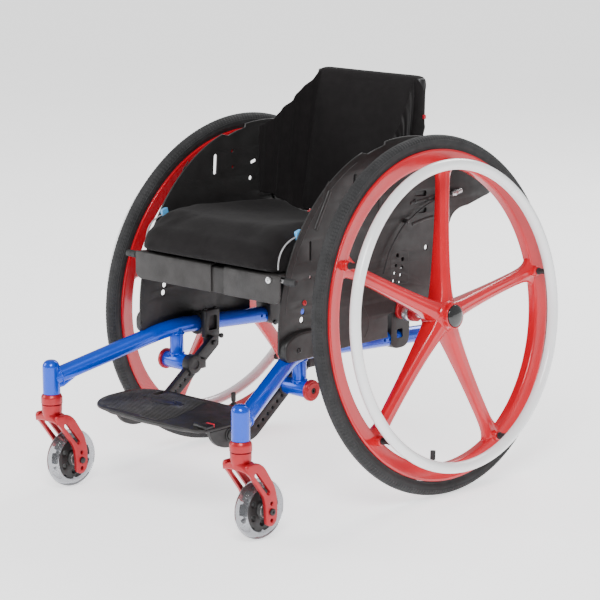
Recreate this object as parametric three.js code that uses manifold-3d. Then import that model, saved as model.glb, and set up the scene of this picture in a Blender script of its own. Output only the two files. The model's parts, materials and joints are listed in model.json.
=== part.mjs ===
// A rigid, cambered manual wheelchair for a child, as separate parts in one group.
// Millimetres. +Z is up, the chair faces -Y, and +X is the left hand of the person who sits in it.
import * as THREE from "three";
import { mergeVertices } from "three/addons/utils/BufferGeometryUtils.js";
import Module from "manifold-3d";

const wasm = await Module();
wasm.setup();

// ---- Driving dimensions -------------------------------------------------------------------------
const GAP = 0.3; // between parts that touch
const RUNNING = 0.6; // round anything that turns or slides in another part

// Rear wheels
const WHEEL_R = 305; // 24 in wheel with its tyre
const TYRE_HALF = 12;
const TYRE_DEPTH = 24; // tread to rim
const CAMBER = 0.104; // radians, tops inwards
const RIM_DEPTH = 27;
const RIM_HALF = 10;
const HUB_R = 22;
const HUB_OUT = 38; // wheel plane to the hub's nose
const HUB_IN = 24;
const SPOKES = 5;
const SPOKE_START = { left: -0.16, right: -0.096 }; // first spoke, from straight up
const HANDRIM_R = WHEEL_R - 49.6;
const HANDRIM_TUBE_R = 9.5;
const HANDRIM_OUT = 44.8;
const AXLE_R = 6.35;

// Casters
const CASTER_R = 50;
const CASTER_HALF = 12.5;
const CASTER_HUB_R = CASTER_R - 13;
const TRAIL = 40;
const FORK_HALF = 29; // wheel plane to the outer face of a leg
const FORK_LEG = 8;

// Seat
const PAN_HALF = 172;
const PAN_FRONT = -307;
const PAN_BACK = 44;
const PAN_RISE = 102.4; // axle to the top of the pan at its front edge
const PAN_DROP = 33; // how much lower its back edge is
const PAN_WALL = 3;
const LIP_DEPTH = 49;
const PAN_SEAM = 12; // where the outer half ends
const CUSHION_HALF = PAN_HALF - 12.5;
const CUSHION_T = 70; // in the middle
const BOLSTER = 28; // how much higher its sides are

// Side guards
const GUARD_X = PAN_HALF - 8.4; // inner face
const GUARD_T = 3.4;
const GUARD_R = WHEEL_R - 5; // about the axle

// Frame
const TUBE_R = 14.3; // 1 1/8 in tube
const RAIL_X = GUARD_X - TUBE_R - 2;
const RAIL_END_Y = 72;
const RAIL_FALL = 20; // how much lower the rail's rear end is
const BEND_Y = -246;
const BEND_DROP = 37.6; // axle down to the bend
const BEND_REACH = 46; // from the corner to where the bend starts
const BARREL_R = 15;
const BARREL_X = RAIL_X + 80.1;
const BARREL_Y = -454.6;
const BARREL_LOW = 2 * CASTER_R + 70.3;
const BARREL_HIGH = BARREL_LOW + 58.7;
const LEG_Z = BARREL_LOW + 26.7; // where the leg meets the barrel
const STUB_Y = -236; // footrest stub under the rail
const STUB_DROP = 63; // rail to stub
const STUB_R = 12;
const STUB_OUT = GUARD_X + 7.4;
const CLAMP_END = RAIL_X - 28.3; // inner end of the stub's cross tube
const CAMBER_TUBE_R = 16;
const PLUG_OUT = GUARD_X + 6.8; // outer end of the camber tube's plug
const TRACK = 2 * GUARD_X + 166.8; // between the wheel planes, at axle height

// Footrest
const HANGER_X = RAIL_X - 41.3;
const HANGER_T = 10;
const HANGER_W = 23;
const PLATE_HALF = PAN_HALF - 2;
const PLATE_NEAR = HANGER_X + 22; // its hinged end, on the left
const PLATE_T = 5;
const TILT_Y = -378;
const TILT_Z = 147;
const TILT_TUBE_R = 8;
const PLATE_Z = TILT_Z + HANGER_W / 2 + 1; // underside

// Back
const POST_X = PAN_HALF - 59;
const POST_R = 10;
const PIVOT_Y = 88;
const PIVOT_RISE = 46; // pan front to pivot
const POST_TOP_Y = 104;
const POST_LENGTH = 234;

// Wheel locks
const LOCK_Y = PAN_FRONT + 8; // the rod lies just behind the pan's front lip
const LOCK_OUT = PAN_HALF + 29;
const LOCK_ROD_R = 3;
const LOCK_TIP_R = 6;
const LOCK_TIP = 24;

// ---- Colours ------------------------------------------------------------------------------------
const finish = (color, roughness, metalness) =>
  new THREE.MeshStandardMaterial({ color, roughness, metalness });
const blue = finish(0x1f5fc4, 0.22, 0.35);
const red = finish(0xc01018, 0.22, 0.1);
const redAnodised = finish(0xa81c22, 0.35, 0.7);
const blackPlastic = finish(0x1a1a1a, 0.55, 0);
const blackMetal = finish(0x161616, 0.45, 0.4);
const fabric = finish(0x121113, 0.95, 0);
const rubber = finish(0x1b1c1d, 0.85, 0);
const clear = finish(0xbfc3c8, 0.2, 0);
const silver = finish(0xc9ccd0, 0.3, 0.8);
const white = finish(0xe2e5e6, 0.3, 0.2);

// ---- Solids -------------------------------------------------------------------------------------
function solidOf(geometry) {
  const bare = geometry.clone();
  bare.deleteAttribute("normal");
  bare.deleteAttribute("uv");
  const merged = mergeVertices(bare, 1e-3);
  return new wasm.Manifold(
    new wasm.Mesh({
      numProp: 3,
      vertProperties: new Float32Array(merged.attributes.position.array),
      triVerts: new Uint32Array(merged.index.array),
    }),
  );
}

function geometryOf(solid) {
  const mesh = solid.getMesh();
  const geometry = new THREE.BufferGeometry();
  geometry.setAttribute("position", new THREE.BufferAttribute(mesh.vertProperties, 3));
  geometry.setIndex(new THREE.BufferAttribute(mesh.triVerts, 1));
  return geometry;
}

const join = (...pieces) => geometryOf(pieces.map(solidOf).reduce((a, b) => a.add(b)));
const cut = (body, ...tools) =>
  geometryOf(tools.map(solidOf).reduce((a, b) => a.subtract(b), solidOf(body)));

// The same piece on the other side of the chair.
function mirrored(geometry) {
  return outward(geometry.clone().scale(-1, 1, 1));
}

function block(x0, x1, y0, y1, z0, z1) {
  const box = new THREE.BoxGeometry(x1 - x0, y1 - y0, z1 - z0);
  return box.translate((x0 + x1) / 2, (y0 + y1) / 2, (z0 + z1) / 2);
}

// A straight round rod between two points.
function rod(from, to, radius, sides = 16) {
  const a = new THREE.Vector3(...from);
  const b = new THREE.Vector3(...to);
  const along = b.clone().sub(a);
  const turn = new THREE.Quaternion();
  turn.setFromUnitVectors(new THREE.Vector3(0, 1, 0), along.clone().normalize());
  const geometry = new THREE.CylinderGeometry(radius, radius, along.length(), sides);
  const middle = a.add(b).multiplyScalar(0.5);
  return geometry.applyQuaternion(turn).translate(middle.x, middle.y, middle.z);
}

// A round tube along a curve.
function tube(curve, radius, steps, sides = 12) {
  const section = new THREE.Shape();
  section.absarc(0, 0, radius, 0, Math.PI * 2);
  const settings = { extrudePath: curve, steps, curveSegments: sides / 2, bevelEnabled: false };
  return new THREE.ExtrudeGeometry(section, settings);
}

// A turned solid about Z, from [radius, height] points that start and end on the axis or close.
function turned(profile, segments, halfStep = false) {
  const points = profile.map(([r, z]) => new THREE.Vector2(r, z));
  const start = halfStep ? Math.PI / segments : 0;
  const lathe = new THREE.LatheGeometry(points, segments, start);
  return outward(lathe.rotateX(Math.PI / 2));
}

// The same surface as loose triangles, turned round if its faces point inwards.
function outward(geometry) {
  const loose = geometry.index ? geometry.toNonIndexed() : geometry;
  const p = loose.attributes.position;
  const [a, b, c] = [0, 1, 2].map(() => new THREE.Vector3());
  let volume = 0;
  for (let i = 0; i < p.count; i += 3) {
    a.fromBufferAttribute(p, i);
    b.fromBufferAttribute(p, i + 1);
    c.fromBufferAttribute(p, i + 2);
    volume += a.dot(b.cross(c));
  }
  if (volume < 0) swapCorners(p.array);
  return loose;
}

function swapCorners(p) {
  for (let i = 0; i < p.length; i += 9)
    for (let k = 0; k < 3; k += 1) [p[i + k], p[i + 3 + k]] = [p[i + 3 + k], p[i + k]];
}

// An outline in the side view, drawn with Shape's x as Y and y as Z, from x0 to x1.
function sidePlate(shape, x0, x1, curveSegments = 4) {
  const settings = { depth: x1 - x0, bevelEnabled: false, curveSegments };
  const plate = new THREE.ExtrudeGeometry(shape, settings);
  const turn = new THREE.Matrix4().set(0, 0, 1, x0, 1, 0, 0, 0, 0, 1, 0, 0, 0, 0, 0, 1);
  return plate.applyMatrix4(turn);
}

// A closed anticlockwise outline through points, each corner rounded to its own radius.
function rounded(points) {
  const area = THREE.ShapeUtils.area(points.map(([x, y]) => new THREE.Vector2(x, y)));
  const corners = area > 0 ? points : [...points].reverse();
  const shape = new THREE.Shape();
  const at = (i) => corners[(i + corners.length) % corners.length];
  corners.forEach(([x, y, radius], i) => {
    const here = new THREE.Vector2(x, y);
    const before = new THREE.Vector2(at(i - 1)[0], at(i - 1)[1]).sub(here);
    const after = new THREE.Vector2(at(i + 1)[0], at(i + 1)[1]).sub(here);
    const reach = Math.min(radius, before.length() / 2.1, after.length() / 2.1);
    const start = here.clone().add(before.setLength(reach));
    const end = here.clone().add(after.setLength(reach));
    if (i === 0) shape.moveTo(start.x, start.y);
    else shape.lineTo(start.x, start.y);
    if (reach > 0) shape.quadraticCurveTo(x, y, end.x, end.y);
  });
  shape.closePath();
  return shape;
}

function circleHole(y, z, radius) {
  const hole = new THREE.Path();
  hole.absarc(y, z, radius, 0, Math.PI * 2, true);
  return hole;
}

// A long round-ended hole of the given width between two centres.
function slotHole(y0, z0, y1, z1, width) {
  const hole = new THREE.Path();
  const angle = Math.atan2(z1 - z0, y1 - y0);
  hole.absarc(y1, z1, width / 2, angle + Math.PI / 2, angle - Math.PI / 2, true);
  hole.absarc(y0, z0, width / 2, angle - Math.PI / 2, angle - 1.5 * Math.PI, true);
  hole.closePath();
  return hole;
}

const parts = [];
function add(name, geometry, material) {
  const mesh = new THREE.Mesh(geometry, material);
  mesh.name = name;
  parts.push(mesh);
  return mesh;
}

// A left piece and its mirror image on the right.
function pair(name, geometry, material) {
  add(name + "_left", geometry, material);
  add(name + "_right", mirrored(geometry), material);
}

// ---- Rear wheels, each in its own frame: Z is the axle, outwards, and Y is up --------------------
const tyreProfile = [
  [WHEEL_R - TYRE_DEPTH, -TYRE_HALF * 0.93],
  [WHEEL_R - 12, -TYRE_HALF],
  [WHEEL_R - 4.5, -TYRE_HALF * 0.72],
  [WHEEL_R, -TYRE_HALF * 0.2],
  [WHEEL_R, TYRE_HALF * 0.2],
  [WHEEL_R - 4.5, TYRE_HALF * 0.72],
  [WHEEL_R - 12, TYRE_HALF],
  [WHEEL_R - TYRE_DEPTH, TYRE_HALF * 0.93],
];
const WHEEL_STEPS = 32;
const widen = 1 / Math.cos(Math.PI / WHEEL_STEPS); // so that the flats, not the corners, are at the radius
const lowest = ([r, z]) => r * Math.cos(CAMBER) - z * Math.sin(CAMBER);
const AXLE_Z = Math.max(...tyreProfile.map(lowest));
const RIM_R = WHEEL_R - TYRE_DEPTH - 1.2;

// The seat, rails, guards, back and footrest are drawn for an axle at this height. The whole of
// them goes up or down with the axle, and the front legs reach from them to the casters.
const DRAWN_AXLE = 303.601;
const LIFT = AXLE_Z - DRAWN_AXLE;
const BEND_Z = DRAWN_AXLE - BEND_DROP;
const RAIL_END_Z = BEND_Z - RAIL_FALL;
const STUB_Z = BEND_Z - STUB_DROP;
const PAN_Z = DRAWN_AXLE + PAN_RISE;
const LOCK_Z = PAN_Z - 10;
const PIVOT_Z = PAN_Z + PIVOT_RISE;
const POST_TOP_Z = PIVOT_Z + POST_LENGTH;

function wheelTyre() {
  const wide = tyreProfile.map(([r, z]) => [r * widen, z]);
  return turned([...wide, wide[0]], WHEEL_STEPS, true);
}

function spoke(angle) {
  const from = HUB_R * 0.6;
  const to = RIM_R - RIM_DEPTH * 0.6;
  const ring = (r, half, back, front) => [
    [-half, r, back + 4],
    [-half * 0.55, r, back],
    [half * 0.55, r, back],
    [half, r, back + 4],
    [half, r, front - 5],
    [half * 0.5, r, front],
    [-half * 0.5, r, front],
    [-half, r, front - 5],
  ];
  const rings = [
    ring(from, 18, -14, 27),
    ring(HUB_R + 26, 15.5, -11, 19),
    ring(RIM_R - 92, 13, -8.5, 10),
    ring(to, 15.5, -7, SPOKE_FRONT),
  ];
  return loft(rings).rotateZ(angle);
}

// A closed solid through rings of the same number of points.
function loft(rings) {
  const n = rings[0].length;
  const points = rings.flat();
  const faces = [];
  for (let k = 0; k + 1 < rings.length; k += 1)
    for (let i = 0; i < n; i += 1) {
      const a = k * n + i;
      const b = k * n + ((i + 1) % n);
      faces.push([a, b, b + n], [a, b + n, a + n]);
    }
  const last = (rings.length - 1) * n;
  for (let i = 1; i + 1 < n; i += 1) {
    faces.push([0, i + 1, i]);
    faces.push([last, last + i, last + i + 1]);
  }
  const geometry = new THREE.BufferGeometry();
  geometry.setAttribute("position", new THREE.Float32BufferAttribute(points.flat(), 3));
  geometry.setIndex(faces.flat());
  return outward(geometry);
}

function magWheel(start) {
  const rim = turned(
    [
      [RIM_R * widen, -RIM_HALF],
      [RIM_R * widen, RIM_HALF],
      [RIM_R - RIM_DEPTH + 6, RIM_HALF],
      [RIM_R - RIM_DEPTH, RIM_HALF * 0.85],
      [RIM_R - RIM_DEPTH, -RIM_HALF * 0.85],
      [RIM_R - RIM_DEPTH + 6, -RIM_HALF],
      [RIM_R * widen, -RIM_HALF],
    ],
    WHEEL_STEPS,
    true,
  );
  const hub = turned(
    [
      [0, -HUB_IN],
      [HUB_R, -HUB_IN],
      [HUB_R + 9, -12],
      [HUB_R + 9, 17],
      [HUB_R, 27],
      [HUB_R, HUB_OUT],
      [0, HUB_OUT],
    ],
    16,
  );
  const spokes = [];
  for (let i = 0; i < SPOKES; i += 1) spokes.push(spoke(start + (i * 2 * Math.PI) / SPOKES));
  const bore = rod([0, 0, -HUB_IN - 1], [0, 0, HUB_OUT - 6], AXLE_R + RUNNING);
  return cut(join(rim, hub, ...spokes), bore);
}

const SPOKE_FRONT = 8; // wheel plane to a spoke's front, at the rim
function handrim(start) {
  const ring = new THREE.TorusGeometry(HANDRIM_R * widen, HANDRIM_TUBE_R, 7, WHEEL_STEPS);
  const pieces = [ring.translate(0, 0, HANDRIM_OUT)];
  for (let i = 0; i < SPOKES; i += 1) {
    const angle = start + (i * 2 * Math.PI) / SPOKES;
    const r = HANDRIM_R + 1;
    const low = RIM_HALF + 0.9;
    const stand = rod([0, r, low], [0, r, HANDRIM_OUT], 5, 8);
    const foot = rod([0, r, low], [0, r, low + 7], 7.5, 8);
    pieces.push(stand.rotateZ(angle), foot.rotateZ(angle));
  }
  return join(...pieces);
}

function rearWheel(side, name) {
  const group = new THREE.Group();
  group.position.set((side * TRACK) / 2, 0, AXLE_Z);
  const out = new THREE.Vector3(side * Math.cos(CAMBER), 0, Math.sin(CAMBER));
  const up = new THREE.Vector3(-side * Math.sin(CAMBER), 0, Math.cos(CAMBER));
  const across = up.clone().cross(out);
  group.setRotationFromMatrix(new THREE.Matrix4().makeBasis(across, up, out));
  const cap = turned(
    [
      [0, HUB_OUT + GAP],
      [HUB_R - 3.5, HUB_OUT + GAP],
      [HUB_R - 3.5, HUB_OUT + 2.5],
      [HUB_R - 8, HUB_OUT + 5],
      [0, HUB_OUT + 6],
    ],
    18,
  );
  group.add(add("rear_tyre_" + name, wheelTyre(), rubber));
  group.add(add("mag_wheel_" + name, magWheel(SPOKE_START[name]), red));
  group.add(add("handrim_" + name, handrim(SPOKE_START[name]), white));
  group.add(add("hub_cap_" + name, cap, blackPlastic));
  group.add(add("axle_" + name, axle(), silver));
  return group;
}

// Quick-release axle with the receiver that it clicks into; its inner end stands in the camber plug.
const AXLE_END = TRACK / 2 - PLUG_OUT - 3.6;
function axle() {
  const pin = rod([0, 0, -AXLE_END], [0, 0, HUB_OUT - 8], AXLE_R);
  const receiver = rod([0, 0, -AXLE_END], [0, 0, -AXLE_END + 16], 13);
  const washer = rod([0, 0, -HUB_IN - 6], [0, 0, -HUB_IN - RUNNING], 10);
  return join(pin, receiver, washer);
}

// ---- Casters: the fork turns about the barrel, and the wheel turns in the fork -------------------
function casterFork() {
  const stemTop = BARREL_LOW - 18.6;
  const stem = rod([0, 0, stemTop], [0, 0, stemTop - 18], BARREL_R + 3.2, 18);
  const r = CASTER_R;
  const outline = rounded([
    [-12, 2 * r + 38, 8],
    [-13, 2 * r + 26, 5],
    [-2, 2 * r + 16, 12],
    [TRAIL - 15, r + 16, 18],
    [TRAIL - 15, r - 24, 12],
    [TRAIL + 13, r - 24, 12],
    [TRAIL + 13, r + 26, 10],
    [24, 2 * r + 27, 16],
    [14, 2 * r + 38, 6],
  ]);
  outline.holes.push(slotHole(4, 2 * r + 18, TRAIL - 8, r + 34, 7));
  [-14, 14].forEach((step) => outline.holes.push(circleHole(TRAIL, r + step, 3.2)));
  outline.holes.push(circleHole(TRAIL, r, 4.2));
  const legs = sidePlate(outline, -FORK_HALF, FORK_HALF);
  const inner = FORK_HALF - FORK_LEG;
  const room = block(-inner, inner, -60, 90, 0, 2 * r + 24);
  return join(stem, cut(legs, room));
}

function caster(side, name) {
  const swivel = new THREE.Group();
  swivel.position.set(side * BARREL_X, BARREL_Y, 0);
  const seat = turned(
    [
      [0, BARREL_LOW - GAP],
      [BARREL_R + 0.5, BARREL_LOW - GAP],
      [BARREL_R + 3.5, BARREL_LOW - 4],
      [BARREL_R + 3.5, BARREL_LOW - 18],
      [0, BARREL_LOW - 18],
    ],
    18,
  );
  const inner = FORK_HALF - FORK_LEG - 0.6;
  const steps = 28;
  const out = 1 / Math.cos(Math.PI / steps);
  const tyre = turned(
    [
      [CASTER_HUB_R + GAP, -CASTER_HALF],
      [CASTER_R * out - 6, -CASTER_HALF],
      [CASTER_R * out - 1.2, -CASTER_HALF * 0.6],
      [CASTER_R * out, 0],
      [CASTER_R * out - 1.2, CASTER_HALF * 0.6],
      [CASTER_R * out - 6, CASTER_HALF],
      [CASTER_HUB_R + GAP, CASTER_HALF],
      [CASTER_HUB_R + GAP, -CASTER_HALF],
    ],
    steps,
    true,
  );
  const hub = turned(
    [
      [0, -inner + 2],
      [13, -inner + 2],
      [14, -CASTER_HALF],
      [CASTER_HUB_R, -CASTER_HALF],
      [CASTER_HUB_R, CASTER_HALF],
      [14, CASTER_HALF],
      [13, inner - 2],
      [0, inner - 2],
    ],
    steps,
    true,
  );
  const bored = cut(hub, rod([0, 0, -40], [0, 0, 40], 4 + RUNNING));
  const bolt = join(
    rod([-FORK_HALF - 1, TRAIL, CASTER_R], [FORK_HALF + 1, TRAIL, CASTER_R], 3.5, 16),
    rod([FORK_HALF + GAP, TRAIL, CASTER_R], [FORK_HALF + 3.5, TRAIL, CASTER_R], 6, 16),
    rod([-FORK_HALF - 3.5, TRAIL, CASTER_R], [-FORK_HALF - GAP, TRAIL, CASTER_R], 6, 6),
  );
  const place = (geometry) => geometry.rotateY(Math.PI / 2).translate(0, TRAIL, CASTER_R);
  swivel.add(add("caster_bearing_" + name, seat, redAnodised));
  swivel.add(add("caster_fork_" + name, casterFork(), redAnodised));
  swivel.add(add("caster_tyre_" + name, place(tyre), clear));
  swivel.add(add("caster_hub_" + name, place(bored), blackPlastic));
  swivel.add(add("caster_bolt_" + name, bolt, blackMetal));
  return swivel;
}

// ---- Frame --------------------------------------------------------------------------------------
const bendStart = new THREE.Vector3(BARREL_X, BARREL_Y, LEG_Z - LIFT);
const bendCorner = new THREE.Vector3(RAIL_X, BEND_Y, BEND_Z);
const railEnd = new THREE.Vector3(RAIL_X, RAIL_END_Y, RAIL_END_Z);
const towards = (from, to, reach) =>
  from.clone().add(to.clone().sub(from).setLength(reach));

// The front leg, the bend and the rail, as one tube.
function railTube(radius) {
  const into = towards(bendCorner, bendStart, BEND_REACH);
  const from = towards(bendCorner, railEnd, BEND_REACH);
  const bend = new THREE.QuadraticBezierCurve3(into, bendCorner, from);
  const leg = rod(bendStart.toArray(), towards(into, bendCorner, 0.1).toArray(), radius, 12);
  const rail = rod(towards(from, bendCorner, 0.1).toArray(), railEnd.toArray(), radius, 12);
  return join(leg, tube(bend, radius, 5), rail);
}

// The rail's height at a place along the chair.
const railZ = (y) => BEND_Z + ((RAIL_END_Z - BEND_Z) * (y - BEND_Y)) / (RAIL_END_Y - BEND_Y);

const GUSSET_REACH = 42; // along the leg
function frameSide() {
  const barrel = turned(
    [
      [0, BARREL_LOW],
      [BARREL_R, BARREL_LOW],
      [BARREL_R, BARREL_HIGH - 9],
      [BARREL_R * 0.86, BARREL_HIGH - 4],
      [BARREL_R * 0.5, BARREL_HIGH - 1],
      [0, BARREL_HIGH],
    ],
    16,
  ).translate(BARREL_X, BARREL_Y, -LIFT);
  const along = bendCorner.clone().sub(bendStart).setLength(GUSSET_REACH).add(bendStart);
  const gusset = rod([BARREL_X, BARREL_Y, LEG_Z - LIFT - 11], [along.x, along.y, along.z - 12], 7, 12);
  const stub = rod([RAIL_X, STUB_Y, STUB_Z], [RAIL_X, STUB_Y, railZ(STUB_Y) - 3], STUB_R);
  const cross = rod([CLAMP_END, STUB_Y, STUB_Z], [STUB_OUT, STUB_Y, STUB_Z], TUBE_R);
  const holes = [-39, -26].map((y) => rod([RAIL_X - 30, y, railZ(y)], [RAIL_X, y, railZ(y)], 2.6, 10));
  const open = rod(towardsArray(railEnd, -45), towardsArray(railEnd, 5), TUBE_R - 2);
  return cut(join(railTube(TUBE_R), barrel, gusset, stub, cross), ...holes, open);
}

function towardsArray(point, step) {
  const back = bendCorner.clone().sub(point).normalize();
  return point.clone().addScaledVector(back, -step).toArray();
}

// Black clamp that hangs the camber tube on the rail.
function axleClamp() {
  const low = railZ(0) - TUBE_R - 2.3;
  const outline = rounded([
    [-24, DRAWN_AXLE + 8, 20],
    [-24, DRAWN_AXLE - 30, 20],
    [-24, low, 22],
    [22, low, 22],
    [24, DRAWN_AXLE - 30, 20],
    [24, DRAWN_AXLE + 8, 20],
    [12, DRAWN_AXLE + 26, 14],
    [-12, DRAWN_AXLE + 26, 14],
  ]);
  const body = sidePlate(outline, RAIL_X - TUBE_R - 6.7, GUARD_X - GAP);
  const ends = [-30, 30].map((step) => [RAIL_X + step, 0, DRAWN_AXLE]);
  const bore = rod(...ends, CAMBER_TUBE_R + GAP, 18);
  const window_ = block(RAIL_X, GUARD_X + 5, -10, 5, 252, 268);
  return cut(body, railTube(TUBE_R + GAP), bore, window_);
}

function frame() {
  pair("frame_side", frameSide(), blue);
  pair("axle_clamp", axleClamp(), blackMetal);
  const half = GUARD_X - 14;
  const axleLine = (x0, x1, radius) => rod([x0, 0, DRAWN_AXLE], [x1, 0, DRAWN_AXLE], radius, 18);
  add("camber_tube", axleLine(-half, half, CAMBER_TUBE_R), blackMetal);
  const plug = join(
    axleLine(half + GAP, PLUG_OUT - 2.4, CAMBER_TUBE_R),
    axleLine(GUARD_X + GAP, PLUG_OUT, CAMBER_TUBE_R + 2),
  );
  pair("camber_plug", plug, red);
  const stubLine = (x0, x1, radius, sides) => rod([x0, STUB_Y, STUB_Z], [x1, STUB_Y, STUB_Z], radius, sides);
  const flange = join(
    stubLine(STUB_OUT + GAP, STUB_OUT + 7.5, TUBE_R + 3.7, 18),
    stubLine(STUB_OUT + 7, STUB_OUT + 9, TUBE_R - 0.8, 18),
  );
  const plugHole = stubLine(STUB_OUT - 5, STUB_OUT + 20, 2.6, 10);
  pair("stub_plug", cut(flange, plugHole), red);
}

// ---- Seat ---------------------------------------------------------------------------------------
const panZ = (y) => PAN_Z - (PAN_DROP * (y - PAN_FRONT)) / (PAN_BACK - PAN_FRONT);

// An L section in the side view: the pan and its turned-down front lip, set in by an amount.
function panSection(inset) {
  const front = PAN_FRONT + inset;
  const top = (y) => panZ(y) - inset;
  return rounded([
    [front, PAN_Z - LIP_DEPTH, 2],
    [front, top(front), 7],
    [PAN_BACK, top(PAN_BACK), 0],
    [PAN_BACK, top(PAN_BACK) - PAN_WALL, 0],
    [front + PAN_WALL, top(front) - PAN_WALL, 5],
    [front + PAN_WALL, PAN_Z - LIP_DEPTH, 0],
  ]);
}

// Rounds the lower outer corners of the lip.
function lipCorner(x) {
  const corner = new THREE.Shape();
  const s = Math.sign(x);
  const z = PAN_Z - LIP_DEPTH;
  corner.moveTo(x + s, z - 1);
  corner.lineTo(x + s, z + 14);
  corner.quadraticCurveTo(x, z, x - s * 14, z - 1);
  corner.closePath();
  const settings = { depth: 20, bevelEnabled: false, curveSegments: 6 };
  const geometry = new THREE.ExtrudeGeometry(corner, settings);
  return geometry.rotateX(Math.PI / 2).translate(0, PAN_FRONT + 15, 0);
}

// Behind its lip the pan passes between the side guards.
const besideGuard = () =>
  block(GUARD_X - GAP, PAN_HALF + 9, PAN_FRONT + PAN_WALL + 0.1, PAN_BACK + 9, 300, PAN_Z + 9);

function seat() {
  const step = PAN_WALL + GAP;
  const outer = sidePlate(panSection(0), -PAN_HALF, PAN_SEAM);
  const main = sidePlate(panSection(0), PAN_SEAM + 30, PAN_HALF);
  const tongue = sidePlate(panSection(step), PAN_SEAM - 60, PAN_SEAM + 33);
  const bridge = sidePlate(panSection(step - 1), PAN_SEAM + 30, PAN_SEAM + 33);
  add("seat_pan_right", cut(outer, lipCorner(-PAN_HALF), mirrored(besideGuard())), blackPlastic);
  const left = cut(join(main, tongue, bridge), lipCorner(PAN_HALF), besideGuard());
  const boltZ = PAN_Z - 10;
  const boltX = PAN_HALF - 24;
  const hole = rod([boltX, PAN_FRONT - 5, boltZ], [boltX, PAN_FRONT + 9, boltZ], 2.7, 12);
  add("seat_pan_left", cut(left, hole), blackPlastic);
  add("cushion", cushion(), fabric);
}

// A contoured pad: rings across the chair, from front to back, with raised sides.
function cushion() {
  const rings = [];
  const front = PAN_FRONT - 18;
  const back = PAN_BACK - 4;
  const steps = 12;
  for (let k = 0; k <= steps; k += 1) {
    const y = front + ((back - front) * k) / steps;
    const nose = Math.min(1, Math.sqrt((y - front + 7) / 62));
    const tail = 1 - 0.2 * (k / steps) ** 8;
    const bottom = panZ(Math.max(y, PAN_FRONT)) + GAP + (y < PAN_FRONT + 8 ? 5 : 0);
    const bolster = BOLSTER * Math.min(1, (y - front) / 120);
    const ring = [];
    const across = 14;
    for (let i = 0; i <= across; i += 1) {
      const u = 1 - (2 * i) / across;
      const edge = CUSHION_T * (1 - 0.35 * u ** 14);
      ring.push([u * CUSHION_HALF, y, bottom + (edge + bolster * u ** 4) * nose * tail]);
    }
    ring.push([-CUSHION_HALF, y, bottom], [CUSHION_HALF, y, bottom]);
    rings.push(ring);
  }
  return loft(rings);
}

// ---- Side guards --------------------------------------------------------------------------------
const DRAWN_GUARD_R = 300; // the outline and holes are drawn at this radius, then scaled
const arcPoint = (angle, radius = DRAWN_GUARD_R) => [
  -radius * Math.cos(angle),
  DRAWN_AXLE + radius * Math.sin(angle),
];

function guardOutline() {
  const shape = new THREE.Shape();
  const low = 259;
  const [y0, z0] = arcPoint(-0.1, DRAWN_GUARD_R + 7);
  shape.moveTo(-38, low);
  shape.lineTo(y0 + 22, low);
  shape.quadraticCurveTo(y0 + 4, low, y0 + 1, low + 18);
  shape.lineTo(y0, z0);
  for (let a = 0.06; a < 1.24; a += 0.118)
    shape.lineTo(...arcPoint(a, DRAWN_GUARD_R + 5 - 6 * (a / 1.24)));
  shape.lineTo(...arcPoint(1.26, DRAWN_GUARD_R - 9));
  shape.lineTo(...arcPoint(1.41, DRAWN_GUARD_R - 9));
  shape.lineTo(...arcPoint(1.42, DRAWN_GUARD_R - 3));
  for (let a = 1.5; a < 2.45; a += 0.118) shape.lineTo(...arcPoint(a, DRAWN_GUARD_R - 3));
  const [y1, z1] = arcPoint(2.48, DRAWN_GUARD_R - 5);
  shape.quadraticCurveTo(y1 + 6, z1 - 10, y1 - 14, z1 - 12);
  shape.lineTo(173, 462);
  shape.quadraticCurveTo(132, 462, 124, 438);
  shape.lineTo(88, 379);
  shape.lineTo(74, 330);
  shape.quadraticCurveTo(70, 300, 58, 300);
  shape.lineTo(-30, 300);
  shape.quadraticCurveTo(-38, 300, -38, 292);
  return new THREE.Shape(shape.getPoints(4).reverse()); // anticlockwise, as its holes are clockwise
}

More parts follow.
